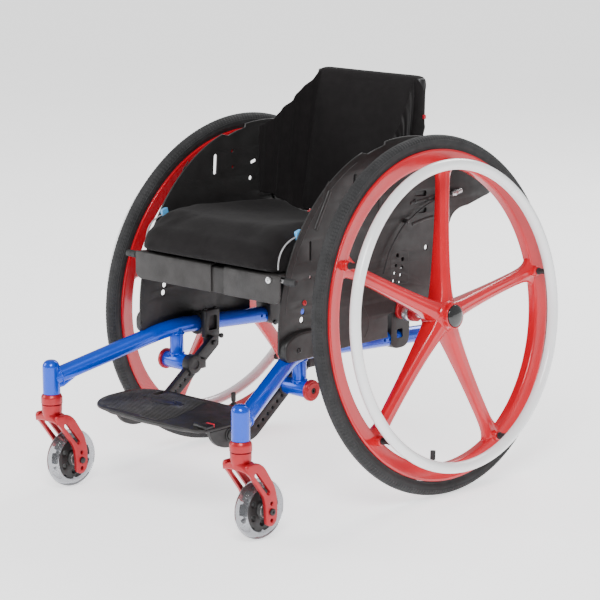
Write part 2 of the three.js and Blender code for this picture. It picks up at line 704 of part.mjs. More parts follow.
function sideGuard() {
  const shape = guardOutline();
  shape.holes.push(slotHole(36, 499, 57, 497, 9));
  shape.holes.push(slotHole(36, 470, 57, 468, 9));
  shape.holes.push(slotHole(-122, 519, -120, 547, 8));
  shape.holes.push(slotHole(-229, 421, -229, 450, 4));
  shape.holes.push(slotHole(-30, 527, -22, 529, 6));
  [
    [61, 402, 4.2],
    [-13, 398, 3.6],
    [0, 390, 3.6],
    [-34, 499, 4],
    [-247, 337, 5],
    [-250, 323.5, 5],
    [-229, 392, 2.5],
    [-244, 351, 3],
    [-79, 552, 3],
    [-78, 524, 3],
  ].forEach(([y, z, r]) => shape.holes.push(circleHole(y, z, r)));
  for (let row = 0; row < 3; row += 1)
    for (let column = 0; column < 2; column += 1)
      shape.holes.push(circleHole(-17 + 15 * column - 3 * row, 381 - 5 * column - 13 * row, 2.8));
  const plate = sidePlate(shape, GUARD_X, GUARD_X + GUARD_T, 3);
  const out = GUARD_X + GUARD_T;
  const rib = (y0, z0, y1, z1) => rod([out, y0, z0], [out, y1, z1], 3, 6);
  const ribs = [rib(-217, 470, -183, 529), rib(-60, 565, -58, 470)];
  const size = GUARD_R / DRAWN_GUARD_R;
  const panel = join(plate, ...ribs)
    .translate(0, 0, -DRAWN_AXLE)
    .scale(1, size, size)
    .translate(0, 0, DRAWN_AXLE);
  const clear = 2 * GAP;
  const lip = block(
    GUARD_X - 9,
    PAN_HALF + clear,
    PAN_FRONT - clear,
    PAN_FRONT + PAN_WALL + clear,
    PAN_Z - LIP_DEPTH - clear,
    PAN_Z + clear,
  );
  const lock = rod([GUARD_X - 9, LOCK_Y, LOCK_Z], [LOCK_OUT, LOCK_Y, LOCK_Z], LOCK_TIP_R + RUNNING);
  const beside = [GUARD_X - 9, GUARD_X + 9].map((x) => [x, 0, DRAWN_AXLE]);
  const axleHole = rod(...beside, CAMBER_TUBE_R + 2 + 2 * GAP, 24);
  return cut(join(panel, guardPocket()), railTube(TUBE_R + GAP), lip, lock, axleHole);
}

// The lower front corner stands out round the bend of the frame tube.
function guardPocket() {
  const outline = rounded([
    [-303, 292, 12],
    [-303, 259, 22],
    [-222, 259, 4],
    [-222, 306, 8],
    [-272, 306, 20],
  ]);
  return sidePlate(outline, GUARD_X, GUARD_X + 16);
}

// ---- Footrest -----------------------------------------------------------------------------------
const barTop = [STUB_Y + 58, BEND_Z - 28];
const barLow = [TILT_Y + 56, TILT_Z - 17];
function barOutline(width) {
  const angle = Math.atan2(barTop[1] - barLow[1], barTop[0] - barLow[0]);
  const half = width / 2;
  const side = [-Math.sin(angle) * half, Math.cos(angle) * half];
  return rounded([
    [barTop[0] + side[0], barTop[1] + side[1], 6],
    [barTop[0] - side[0], barTop[1] - side[1], 6],
    [barLow[0] - side[0], barLow[1] - side[1], 16],
    [TILT_Y + 6, TILT_Z - half, 6],
    [TILT_Y, TILT_Z + half - 0.5, 0],
    [barLow[0] + side[0] + 2, barLow[1] + side[1] + 4, 8],
  ]);
}

function hanger() {
  const outline = barOutline(HANGER_W);
  const holes = 7;
  for (let i = 0; i < holes; i += 1) {
    const t = 0.14 + i * 0.078;
    const y = barLow[0] + (barTop[0] - barLow[0]) * t;
    const z = barLow[1] + (barTop[1] - barLow[1]) * t;
    outline.holes.push(circleHole(y, z, 2.7));
  }
  const tiltLine = (x0, x1, radius, sides) => rod([x0, TILT_Y, TILT_Z], [x1, TILT_Y, TILT_Z], radius, sides);
  const bore = tiltLine(HANGER_X - 9, HANGER_X + 29, TILT_TUBE_R + GAP, 14);
  const eye = tiltLine(HANGER_X, HANGER_X + HANGER_T, HANGER_W / 2, 18);
  return cut(join(sidePlate(outline, HANGER_X, HANGER_X + HANGER_T), eye), bore);
}

// Clamp round the rail; the bar's top end is bolted to its inner face.
function hangerRailClamp() {
  const x0 = HANGER_X + HANGER_T + GAP;
  const middle = barTop[0];
  const z = railZ(middle);
  const low = z - TUBE_R - 7.3;
  const x1 = RAIL_X - TUBE_R - 4.7;
  const body = block(x0, x1, middle - 18, middle + 18, low, z + TUBE_R + 14);
  const lug = block(x0, x0 + 12, middle - 14, middle + 16, low - 14, low + 2);
  const [front, back] = [-12, 12].map((step) => [RAIL_X, middle + step, railZ(middle + step)]);
  const band = rod(front, back, TUBE_R + 6, 20);
  const window_ = block(x0 - 5, x1 - 5, middle - 10, middle + 10, z - 9, z + 17);
  const guard = block(GUARD_X - GAP, GUARD_X + 20, middle - 30, middle + 30, z - 40, z + 40);
  return cut(join(body, lug, band), railTube(TUBE_R + GAP), window_, guard);
}

function hangerStubClamp() {
  const x0 = HANGER_X - 6;
  const body = rod([x0, STUB_Y, STUB_Z], [CLAMP_END - GAP, STUB_Y, STUB_Z], 16.5, 18);
  const lug = block(x0, x0 + 18, STUB_Y + 8, STUB_Y + 26, STUB_Z - 10, STUB_Z + 8);
  const slot = sidePlate(barOutline(HANGER_W + 2 * GAP), HANGER_X - GAP, HANGER_X + HANGER_T + GAP);
  return cut(join(body, lug), slot);
}

function halfMoon(x0) {
  const shape = new THREE.Shape();
  const top = PLATE_Z - GAP;
  shape.moveTo(TILT_Y - 45, top);
  shape.absellipse(TILT_Y + 2, top, 47, 34, Math.PI, 2 * Math.PI, false);
  shape.closePath();
  shape.holes.push(circleHole(TILT_Y, TILT_Z, TILT_TUBE_R + RUNNING));
  return sidePlate(shape, x0, x0 + 8, 8);
}

// The plate is held by a half-moon on the inner side of one hanger and the outer side of the other.
function footplate() {
  const half = PLATE_HALF;
  const shape = rounded([
    [-half, TILT_Y + 62, 40],
    [-half + 3, TILT_Y - 20, 46],
    [-(half - 40), TILT_Y - 66, 50],
    [0, TILT_Y - 73, 90],
    [PLATE_NEAR, TILT_Y - 66, 24],
    [PLATE_NEAR, TILT_Y + 70, 18],
    [PLATE_NEAR - 20, TILT_Y + 88, 30],
    [-(half - 46), TILT_Y + 89, 40],
  ]);
  const plate = new THREE.ExtrudeGeometry(shape, {
    depth: PLATE_T,
    bevelEnabled: false,
    curveSegments: 8,
  }).translate(0, 0, PLATE_Z);
  const lip = new THREE.QuadraticBezierCurve3(
    new THREE.Vector3(-(half - 52), TILT_Y - 59, PLATE_Z + 1),
    new THREE.Vector3(0, TILT_Y - 71, PLATE_Z - 2),
    new THREE.Vector3(PLATE_NEAR - 12, TILT_Y - 60, PLATE_Z + 1),
  );
  const bars = (x0, x1) => block(x0, x1, TILT_Y + 52, TILT_Y + 98, PLATE_Z - 20, PLATE_Z + 20);
  const nearRoom = bars(HANGER_X - 2, PLATE_NEAR + 9);
  const farRoom = bars(-HANGER_X - HANGER_T - 2, -HANGER_X + 2);
  return cut(join(plate, tube(lip, 3.5, 14, 10)), nearRoom, farRoom);
}

function footrest() {
  pair("footrest_hanger", hanger(), blackMetal);
  pair("hanger_rail_clamp", hangerRailClamp(), blackPlastic);
  pair("hanger_stub_clamp", hangerStubClamp(), blackPlastic);
  add("footplate_bracket_left", halfMoon(HANGER_X + HANGER_T + 2.5), blackPlastic);
  add("footplate_bracket_right", mirrored(halfMoon(HANGER_X - 11)), blackPlastic);
  const bar = rod(
    [-HANGER_X - HANGER_T - 3, TILT_Y, TILT_Z],
    [HANGER_X + HANGER_T + 14, TILT_Y, TILT_Z],
    TILT_TUBE_R,
    14,
  );
  add("footplate_cross_tube", bar, blackMetal);
  add("footplate", footplate(), blackPlastic);
}

// ---- Back ---------------------------------------------------------------------------------------
const postY = (z) => PIVOT_Y + ((POST_TOP_Y - PIVOT_Y) * (z - PIVOT_Z)) / (POST_TOP_Z - PIVOT_Z);

function backPost() {
  const foot = PIVOT_Z - 6;
  const post = rod([POST_X, postY(foot), foot], [POST_X, POST_TOP_Y, POST_TOP_Z], POST_R);
  const eye = rod([POST_X - 8, PIVOT_Y, PIVOT_Z], [POST_X + 8, PIVOT_Y, PIVOT_Z], 15, 16);
  const pin = rod([POST_X - 20, PIVOT_Y, PIVOT_Z], [POST_X + 20, PIVOT_Y, PIVOT_Z], 5 + RUNNING);
  return cut(join(post, eye), pin);
}

function backBracket() {
  const outline = rounded([
    [20, PIVOT_Z + 58, 6],
    [20, PIVOT_Z + 4, 10],
    [66, PIVOT_Z - 24, 14],
    [PIVOT_Y + 24, PIVOT_Z - 18, 14],
    [PIVOT_Y + 24, PIVOT_Z + 18, 14],
    [PIVOT_Y - 10, PIVOT_Z + 58, 10],
  ]);
  const plate = sidePlate(outline, GUARD_X - 3.2, GUARD_X - GAP);
  const arm = rod([POST_X + POST_R + 1.5, PIVOT_Y, PIVOT_Z], [GUARD_X - 2, PIVOT_Y, PIVOT_Z], 12, 14);
  const reach = POST_X + POST_R + 4;
  const pin = rod([POST_X - 8, PIVOT_Y, PIVOT_Z], [reach, PIVOT_Y, PIVOT_Z], 5, 16);
  return join(plate, arm, pin);
}

// Upholstery over the posts.
const COVER_LOW = PIVOT_Z + 17;
const COVER_HIGH = POST_TOP_Z + 5;
const coverFace = (z) => postY(z) - 37.2 + (22.9 * (z - COVER_LOW)) / (COVER_HIGH - COVER_LOW);

function backCover() {
  const z0 = COVER_LOW;
  const z1 = COVER_HIGH;
  const backAt = (z) => postY(z) + POST_R + 4;
  const half = (z) => POST_X + POST_R + 1 - 4 * ((z - z0) / (z1 - z0));
  const rings = [];
  [z0, z0 + (z1 - z0) * 0.27, z0 + (z1 - z0) * 0.6, z1 - 8, z1].forEach((z, k) => {
    const t = k === 4 ? 4 : 0;
    const w = half(z) - t;
    const f = coverFace(z) + t;
    const b = backAt(z) - t;
    rings.push([
      [w, f, z],
      [w - 10, f - 2, z],
      [0, f + 6, z],
      [-w + 10, f - 2, z],
      [-w, f, z],
      [-w - 1, f + 14, z],
      [-w, b, z],
      [0, b + 2, z],
      [w, b, z],
      [w + 1, f + 14, z],
    ]);
  });
  const panel = loft(rings);
  const holes = [1, -1].map((s) => {
    const end = [s * POST_X, POST_TOP_Y + 0.05, POST_TOP_Z + 0.8];
    return rod([s * POST_X, postY(z0 - 9), z0 - 9], end, POST_R + GAP);
  });
  return cut(panel, ...holes);
}

// A wing reaches forward from the panel's front face, inside the guard.
function wingSolid() {
  const low = COVER_LOW + 20;
  const top = COVER_HIGH - 19;
  const t = 7;
  const stations = [
    [POST_X + 3, coverFace(low) - 3, coverFace(top) - 3, top],
    [GUARD_X - 23.6, 20, 20, low + 109],
    [GUARD_X - 16.6, -26, -26, low + 101],
  ];
  const rings = stations.map(([x, yLow, yHigh, high]) => [
    [x, yLow, low],
    [x + t, yLow, low],
    [x + t, yHigh, high],
    [x, yHigh, high],
  ]);
  return loft(rings);
}

function back() {
  pair("back_post", backPost(), blackMetal);
  pair("back_bracket", backBracket(), blackMetal);
  const z = PIVOT_Z + 6;
  const reach = POST_X - POST_R - GAP;
  const bar = rod([-reach, postY(z), z], [reach, postY(z), z], 7, 16);
  add("back_crossbar", bar, blackMetal);
  add("back_cover", backCover(), fabric);
  pair("back_wing", wingSolid(), fabric);
}

// ---- Wheel locks: a rod slides out to the front of the tyre -------------------------------------
function wheelLocks() {
  const x = PAN_HALF - 24; // the guide's middle
  const front = PAN_FRONT + PAN_WALL + 0.8;
  const holder = block(x - 8, x + 8, front, LOCK_Y + 10, LOCK_Z - 9, LOCK_Z + 4.3);
  const rodFrom = (x0, x1, radius, sides) =>
    rod([x0, LOCK_Y, LOCK_Z], [x1, LOCK_Y, LOCK_Z], radius, sides);
  pair("lock_guide", cut(holder, rodFrom(x - 28, x + 22, LOCK_ROD_R + RUNNING, 10)), blackMetal);
  pair("lock_rod", rodFrom(x - 58, LOCK_OUT - LOCK_TIP, LOCK_ROD_R, 10), blackMetal);
  pair("lock_tip", rodFrom(LOCK_OUT - LOCK_TIP + GAP, LOCK_OUT, LOCK_TIP_R, 14), rubber);
}

// ---- Cable from the back's latch, clipped along the left guard ----------------------------------
function releaseCable() {
  const x = GUARD_X + GUARD_T + 6;
  const route = [
    [x, 120, 488],
    [x, 93, 486],
    [x, 51, 476],
    [x, 20, 462],
    [x, -6, 448],
    [x, -39, 411],
    [x, -57, 372],
  ].map((p) => new THREE.Vector3(...p));
  const curve = new THREE.CatmullRomCurve3(route);
  add("release_cable", tube(curve, 1.5, 16, 8), rubber);
  const barrel = join(
    rod([x, 120 + GAP, 488], [x, 146, 492], 4, 14),
    rod([x, 128, 489], [x, 134, 490], 5.2, 6),
  );
  add("cable_adjuster", barrel, silver);
}

// ---- Assembly -----------------------------------------------------------------------------------
const chair = new THREE.Group();
chair.add(rearWheel(1, "left"), rearWheel(-1, "right"));
chair.add(caster(1, "left"), caster(-1, "right"));
const fixedFrom = parts.length;
frame();
seat();
pair("side_guard", sideGuard(), blackPlastic);
footrest();
back();
wheelLocks();
releaseCable();
const upper = new THREE.Group();
upper.position.z = LIFT;
upper.add(...parts.slice(fixedFrom));
chair.add(upper);

// The origin is on the ground, under the middle of the whole chair.
const extent = new THREE.Box3().setFromObject(chair, true);
chair.position.y = -(extent.min.y + extent.max.y) / 2;

export default chair;
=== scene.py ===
"""The looks of a rigid, cambered manual wheelchair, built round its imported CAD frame."""

import json
from math import atan2, cos, exp, pi, radians, sin, sqrt

import bmesh
import bpy
import numpy as np
from mathutils import Matrix, Vector


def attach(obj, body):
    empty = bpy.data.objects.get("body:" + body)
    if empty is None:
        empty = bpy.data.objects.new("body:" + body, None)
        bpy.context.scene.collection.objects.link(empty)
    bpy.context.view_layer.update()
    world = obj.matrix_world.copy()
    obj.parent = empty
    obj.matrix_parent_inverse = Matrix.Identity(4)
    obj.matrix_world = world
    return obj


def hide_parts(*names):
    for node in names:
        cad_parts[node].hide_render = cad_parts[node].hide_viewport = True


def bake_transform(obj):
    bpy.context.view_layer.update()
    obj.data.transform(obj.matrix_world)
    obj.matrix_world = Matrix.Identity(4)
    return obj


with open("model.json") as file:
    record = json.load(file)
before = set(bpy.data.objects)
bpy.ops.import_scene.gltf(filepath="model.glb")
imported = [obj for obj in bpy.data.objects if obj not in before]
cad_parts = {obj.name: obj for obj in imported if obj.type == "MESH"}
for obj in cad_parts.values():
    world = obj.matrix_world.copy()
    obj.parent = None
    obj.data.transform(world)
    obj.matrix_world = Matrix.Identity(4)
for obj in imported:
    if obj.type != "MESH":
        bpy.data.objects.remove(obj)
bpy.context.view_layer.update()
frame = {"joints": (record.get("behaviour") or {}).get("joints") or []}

MM = 0.001
JOINT = {j["name"]: j for j in frame["joints"]}
SHIFT = JOINT["wheel_spin_left"]["pos_m"][1] / MM  # the axles' place along the chair
AXLE_Z = JOINT["wheel_spin_left"]["pos_m"][2] / MM
SIDES = (("left", 1), ("right", -1))
TAU = 2 * pi
GAP = 0.3  # clearance between neighbouring parts
ALONG_X = Matrix.Rotation(pi / 2, 4, "Y")  # brings Z to X
MIRROR = Matrix.Diagonal((-1, 1, 1, 1))


def show(made):
    bpy.context.scene.collection.objects.link(made)


def fresh_mesh(made):
    """A new mesh of an object as its modifiers leave it."""
    graph = bpy.context.evaluated_depsgraph_get()
    return bpy.data.meshes.new_from_object(made.evaluated_get(graph))


def at(x, y, z):
    """A point from millimetres counted from the axles and the floor."""
    return Vector((x, y + SHIFT, z)) * MM


# ---- Camera, light and floor --------------------------------------------------------------------
VIEW_TURN = 0.7622, 0.2027, -0.0041  # radians from the front, above the level, and of roll
VIEW_PLACE = 2912.94, -3130.76, 1187.42
VIEW_LENS, VIEW_SHIFT = 148.88, -0.01257


def make_camera():
    azimuth, elevation, roll = VIEW_TURN
    flat = cos(elevation)
    look = Vector((-sin(azimuth) * flat, cos(azimuth) * flat, -sin(elevation)))
    right = look.cross(Vector((0, 0, 1))).normalized()
    up = right.cross(look)
    right, up = (cos(roll) * right + sin(roll) * up, -sin(roll) * right + cos(roll) * up)
    data = bpy.data.cameras.new("camera")
    data.lens = VIEW_LENS
    data.shift_y = VIEW_SHIFT
    data.clip_start, data.clip_end = 0.5, 60
    camera = bpy.data.objects.new("camera", data)
    matrix = Matrix((right, up, -look)).transposed().to_4x4()
    matrix.translation = at(*VIEW_PLACE)
    camera.matrix_world = matrix
    show(camera)
    bpy.context.scene.camera = camera


def area_light(name, place, target, size, power):
    data = bpy.data.lights.new(name, "AREA")
    data.shape = "DISK"
    data.size = size
    data.energy = power
    light = bpy.data.objects.new(name, data)
    light.location = place
    light.rotation_mode = "QUATERNION"
    light.rotation_quaternion = (Vector(target) - Vector(place)).to_track_quat("-Z", "Y")
    show(light)


def make_studio():
    world = bpy.data.worlds.new("studio")
    world.use_nodes = True
    background = world.node_tree.nodes["Background"]
    background.inputs["Color"].default_value = (1, 1, 1, 1)
    background.inputs["Strength"].default_value = 0.5
    bpy.context.scene.world = world
    middle = (0, 0, 0.35)
    area_light("key", (2.2, -2.4, 3.2), middle, 1.8, 150)
    area_light("fill", (-3.2, -2.4, 1.8), middle, 2.2, 60)
    area_light("rim", (-0.6, 3.0, 2.8), middle, 1.8, 90)
    mesh = bpy.data.meshes.new("floor")
    reach = 14
    mesh.from_pydata([(-reach, -reach, 0), (reach, -reach, 0), (reach, reach, 0),
        (-reach, reach, 0)], [], [(0, 1, 2, 3)])
    floor = bpy.data.objects.new("floor", mesh)
    floor.location.z = -0.0006
    show(floor)
    pale = Paint("floor_pale", (0.92, 0.92, 0.925), 0.75)
    pale.colour_noise(3.0, 0.02)
    pale.shader.inputs["Emission Color"].default_value = (1, 1, 1, 1)
    pale.shader.inputs["Emission Strength"].default_value = 1.25
    mesh.materials.append(pale.material)


# ---- Materials ----------------------------------------------------------------------------------
class Paint:
    """A Principled material that gathers its colour and height detail as it is built."""

    def __init__(self, name, base, roughness, metallic=0.0, **sockets):
        self.material = bpy.data.materials.new(name)
        self.material.use_nodes = True
        tree = self.material.node_tree
        self.nodes, self.links = tree.nodes, tree.links
        self.shader = self.nodes["Principled BSDF"]
        self.base = base
        self.roughness = roughness
        self.shader.inputs["Base Color"].default_value = (*base, 1)
        self.shader.inputs["Roughness"].default_value = roughness
        self.shader.inputs["Metallic"].default_value = metallic
        for socket, value in sockets.items():
            self.shader.inputs[socket.replace("_", " ")].default_value = value
        self.place = self.node("ShaderNodeTexCoord").outputs["Object"]
        self.normal = None

    def node(self, kind, **values):
        made = self.nodes.new(kind)
        for key, value in values.items():
            if hasattr(made, key):
                setattr(made, key, value)
            else:
                made.inputs[key.replace("_", " ")].default_value = value
        return made

    def link(self, source, target):
        self.links.new(source, target)

    def noise(self, scale, detail=4.0, stretch=None):
        texture = self.node("ShaderNodeTexNoise", Scale=scale, Detail=detail)
        source = self.place
        if stretch:
            mapping = self.node("ShaderNodeMapping")
            mapping.inputs["Scale"].default_value = stretch
            self.link(source, mapping.inputs["Vector"])
            source = mapping.outputs["Vector"]
        self.link(source, texture.inputs["Vector"])
        return texture.outputs["Fac"]

    def ramp(self, source, low, high, start=0.3, end=0.7):
        ramp = self.node("ShaderNodeMapRange")
        for socket, value in (
            ("From Min", start),
            ("From Max", end),
            ("To Min", low),
            ("To Max", high),
        ):
            ramp.inputs[socket].default_value = value
        self.link(source, ramp.inputs["Value"])
        return ramp.outputs["Result"]

    def colour_noise(self, scale, amount, detail=4.0, stretch=None):
        """Lightens and darkens the base colour in patches."""
        mix = self.node("ShaderNodeMix", data_type="RGBA")
        mix.inputs[6].default_value = (*[c * (1 - amount) for c in self.base], 1)
        mix.inputs[7].default_value = (*[min(1, c * (1 + amount)) for c in self.base], 1)
        self.link(self.ramp(self.noise(scale, detail, stretch), 0, 1), mix.inputs[0])
        self.link(mix.outputs[2], self.shader.inputs["Base Color"])
        return self

    def rough_noise(self, scale, amount, detail=3.0, stretch=None):
        low, high = self.roughness - amount, self.roughness + amount
        result = self.ramp(self.noise(scale, detail, stretch), max(0.02, low), high)
        self.link(result, self.shader.inputs["Roughness"])
        return self

    def bump(self, height, strength, distance):
        """Adds a height to the surface, on top of what is there."""
        node = self.node("ShaderNodeBump", Strength=strength, Distance=distance)
        self.link(height, node.inputs["Height"])
        if self.normal:
            self.link(self.normal, node.inputs["Normal"])
        self.normal = node.outputs["Normal"]
        self.link(self.normal, self.shader.inputs["Normal"])
        return self

    def grain(self, scale, strength, distance, detail=4.0, stretch=None):
        return self.bump(self.noise(scale, detail, stretch), strength, distance)

    def pebble(self, scale, strength, distance):
        cells = self.node("ShaderNodeTexVoronoi", Scale=scale, feature="SMOOTH_F1")
        self.link(self.place, cells.inputs["Vector"])
        return self.bump(cells.outputs["Distance"], strength, distance)

    def weave(self, scale, strength, distance):
        """Two sets of fine threads that cross."""
        heights = []
        for direction in ("X", "Z"):
            wave = self.node("ShaderNodeTexWave", bands_direction=direction, Scale=scale)
            wave.inputs["Distortion"].default_value = 0.6
            self.link(self.place, wave.inputs["Vector"])
            heights.append(wave.outputs["Fac"])
        mix = self.node("ShaderNodeMath", operation="MAXIMUM")
        self.link(heights[0], mix.inputs[0])
        self.link(heights[1], mix.inputs[1])
        return self.bump(mix.outputs[0], strength, distance)


def make_paints():
    blue = Paint("blue_gloss", (0.0, 0.062, 0.62), 0.22, 0.35, Coat_Weight=0.35,
        Coat_Roughness=0.05)
    blue.colour_noise(900, 0.10).rough_noise(40, 0.04).grain(260, 0.04, 0.0002)
    red = Paint("red_moulded", (0.56, 0.0015, 0.012), 0.22, 0.0, Coat_Weight=0.35,
        Coat_Roughness=0.06)
    red.colour_noise(14, 0.08).rough_noise(30, 0.05).grain(55, 0.05, 0.0004)
    anodised = Paint("red_anodised", (0.42, 0.008, 0.016), 0.36, 0.35, Coat_Weight=0.15)
    anodised.colour_noise(60, 0.08).rough_noise(120, 0.06).grain(900, 0.08, 0.0001)
    pale = Paint("handrim_pale", (0.93, 0.94, 0.95), 0.22, 0.0, Coat_Weight=0.5,
        Coat_Roughness=0.1)
    pale.colour_noise(8, 0.03).rough_noise(30, 0.06).grain(120, 0.03, 0.0002)
    tyre = Paint("tyre_rubber", (0.016, 0.016, 0.017), 0.72)
    tyre.colour_noise(26, 0.30).rough_noise(60, 0.08).grain(1500, 0.35, 0.0002)
    clear = Paint("caster_clear", (0.40, 0.41, 0.43), 0.10, 0.0, Transmission_Weight=0.88,
        IOR=1.16)
    clear.rough_noise(90, 0.05).colour_noise(40, 0.06)
    plastic = Paint("plastic_black", (0.014, 0.0132, 0.0132), 0.46)
    plastic.colour_noise(30, 0.18).rough_noise(70, 0.08).pebble(1400, 0.35, 0.00018)
    pan = Paint("pan_black", (0.022, 0.0198, 0.0192), 0.50)
    pan.colour_noise(22, 0.35).rough_noise(50, 0.12).pebble(620, 0.55, 0.0004).grain(90, 0.25,
        0.0008)
    coat = Paint("black_coat", (0.012, 0.012, 0.0125), 0.38, 0.1)
    coat.colour_noise(40, 0.15).rough_noise(80, 0.08).grain(1100, 0.25, 0.00012)
    gloss = Paint("black_gloss", (0.012, 0.012, 0.013), 0.12, 0.0, Coat_Weight=0.6)
    gloss.colour_noise(30, 0.1).rough_noise(60, 0.04).grain(200, 0.03, 0.0001)
    silver = Paint("silver_turned", (0.72, 0.72, 0.73), 0.27, 0.9)
    silver.colour_noise(50, 0.06).rough_noise(240, 0.08, stretch=(1, 8, 8)).grain(700, 0.1, 0.0001)
    cloth = Paint("cloth_black", (0.0085, 0.0072, 0.0076), 0.92, 0.0, Sheen_Weight=0.05)
    cloth.shader.inputs["Sheen Roughness"].default_value = 0.55
    cloth.shader.inputs["Specular IOR Level"].default_value = 0.15
    cloth.colour_noise(70, 0.16).weave(420, 0.35, 0.00035).grain(900, 0.25, 0.0002)
    cloth.grain(16, 0.35, 0.006, detail=2.0)
    seam = Paint("seam_grey", (0.36, 0.36, 0.37), 0.7)
    seam.colour_noise(300, 0.25).grain(1600, 0.5, 0.0002)
    rubber = Paint("rubber_black", (0.020, 0.020, 0.021), 0.62)
    rubber.colour_noise(60, 0.2).rough_noise(90, 0.06).grain(800, 0.2, 0.00015)
    sky = Paint("clip_blue", (0.10, 0.42, 0.80), 0.35, 0.0, Coat_Weight=0.3)
    sky.colour_noise(90, 0.12).grain(500, 0.1, 0.0001)
    dot = Paint("red_mark", (0.62, 0.01, 0.03), 0.5)
    dot.colour_noise(300, 0.15).grain(1200, 0.3, 0.0002)
    return {k: v.material for k, v in locals().items()}


PAINT = {}


# ---- Shapes: each returns a bmesh in millimetres, in the axle's coordinates or the piece's own --
def sheet_of(rows, closed_rows=False, closed_columns=True, caps=True):
    """A surface over rows of points; closed_columns joins each row's ends."""
    bm = bmesh.new()
    grid = [[bm.verts.new(p) for p in row] for row in rows]
    count, width = len(grid), len(grid[0])
    for i in range(count if closed_rows else count - 1):
        a, b = grid[i], grid[(i + 1) % count]
        for k in range(width if closed_columns else width - 1):
            m = (k + 1) % width
            bm.faces.new((a[k], a[m], b[m], b[k]))
    if caps and closed_columns and not closed_rows:
        bm.faces.new(reversed(grid[0]))
        bm.faces.new(grid[-1])
    bmesh.ops.recalc_face_normals(bm, faces=bm.faces)
    return bm


def lathe(profile, steps=64, closed=False):
    """Turns [radius, height] points about Z. An open profile starts and ends near the axis."""
    rows = []
    for i in range(steps):
        a = TAU * i / steps
        rows.append([(r * cos(a), r * sin(a), z) for r, z in profile])
    bm = sheet_of(rows, True, closed, False)
    bmesh.ops.remove_doubles(bm, verts=bm.verts, dist=1e-4)
    if not closed:
        bmesh.ops.holes_fill(bm, edges=bm.edges, sides=0)
        bmesh.ops.recalc_face_normals(bm, faces=bm.faces)
    return bm


def rounded(points, steps=5, closed=True):
    """Points [x, y, radius] as a line whose corners are rounded."""
    out = []
    count = len(points)
    for i, (x, y, radius) in enumerate(points):
        here = Vector((x, y))
        if radius <= 0 or (not closed and i in (0, count - 1)):
            out.append((x, y))
            continue
        before = Vector(points[i - 1][:2]) - here
        after = Vector(points[(i + 1) % count][:2]) - here
        reach = min(radius, before.length / 2.05, after.length / 2.05)
        a, b = here + before.normalized() * reach, here + after.normalized() * reach
        for k in range(steps + 1):
            t = k / steps
            p = a * (1 - t) ** 2 + here * 2 * t * (1 - t) + b * t * t
            out.append((p.x, p.y))
    return out


def spun(profile, steps=64):
    """A turned solid from the corners [radius, height, rounding] of its outline, axis to axis."""
    return lathe(rounded(profile, closed=False), steps)


def sweep(points, radius, sides=20, closed=False, caps=True, flat=1.0):
    """A round tube along points. radius is a number or one for each point."""
    pts = [Vector(p) for p in points]
    count = len(pts)
    radii = [radius] * count if isinstance(radius, (int, float)) else list(radius)
    tangents = []
    for i in range(count):
        a = pts[i - 1] if i or closed else pts[0]
        b = pts[(i + 1) % count] if i + 1 < count or closed else pts[-1]
        tangents.append((b - a).normalized())
    normal = tangents[0].orthogonal().normalized()
    rows = []
    for i, (p, t) in enumerate(zip(pts, tangents)):
        if i:
            normal = tangents[i - 1].rotation_difference(t) @ normal
        side = t.cross(normal).normalized()
        rows.append([p + (normal * cos(TAU * k / sides) + side * flat * sin(TAU * k / sides))
            * radii[i] for k in range(sides)])
    return sheet_of(rows, closed, True, caps)


def rod(a, b, radius, sides=28, edge=0.8):
    """A straight round bar with softened ends."""
    a, b = Vector(a), Vector(b)
    along = (b - a).normalized()
    edge = min(edge, radius * 0.45, (b - a).length * 0.3)
    stops = [(0, radius - edge), (edge * 0.3, radius - edge * 0.3), (edge, radius)]
    length = (b - a).length
    stops += [(length - d, r) for d, r in reversed(stops)]
    return sweep([a + along * d for d, _ in stops], [r for _, r in stops], sides)


def x_rod(x0, x1, y, z, *shape):
    """A rod across the chair."""
    return rod((x0, y, z), (x1, y, z), *shape)


def circle(x, y, radius, steps=28):
    return [(x + radius * cos(TAU * k / steps), y + radius * sin(TAU * k / steps))
        for k in range(steps)]


def slot_hole(x0, y0, x1, y1, width):
    """A round-ended hole between two centres."""
    angle = atan2(y1 - y0, x1 - x0)
    out = []
    for cx, cy, start in ((x1, y1, -pi / 2), (x0, y0, pi / 2)):
        for k in range(9):
            a = angle + start + pi * k / 8
            out.append((cx + width / 2 * cos(a), cy + width / 2 * sin(a)))
    return out


def plate(outline, thickness, holes=(), bevel=0.8, steps=2):
    """A flat plate in XY from Z 0 to thickness, with softened edges, by a filled curve."""
    curve = bpy.data.curves.new("plate", "CURVE")
    curve.dimensions = "2D"
    curve.fill_mode = "BOTH"
    curve.extrude = max(thickness / 2 - bevel, 0.01)
    curve.bevel_depth = bevel
    curve.bevel_resolution = steps
    curve.offset = -bevel
    for line in (outline, *holes):
        spline = curve.splines.new("POLY")
        spline.points.add(len(line) - 1)
        for point, (x, y) in zip(spline.points, line):
            point.co = (x, y, 0, 1)
        spline.use_cyclic_u = True
    helper = bpy.data.objects.new("plate", curve)
    show(helper)
    mesh = fresh_mesh(helper)
    bm = bmesh.new()
    bm.from_mesh(mesh)
    bpy.data.objects.remove(helper)
    bpy.data.curves.remove(curve)
    bpy.data.meshes.remove(mesh)
    bmesh.ops.remove_doubles(bm, verts=bm.verts, dist=1e-3)
    bmesh.ops.translate(bm, vec=(0, 0, thickness / 2), verts=bm.verts)
    bmesh.ops.recalc_face_normals(bm, faces=bm.faces)
    return bm


def turn(bm, matrix):
    bmesh.ops.transform(bm, matrix=matrix, verts=bm.verts)
    if matrix.determinant() < 0:
        bmesh.ops.reverse_faces(bm, faces=bm.faces)
    return bm


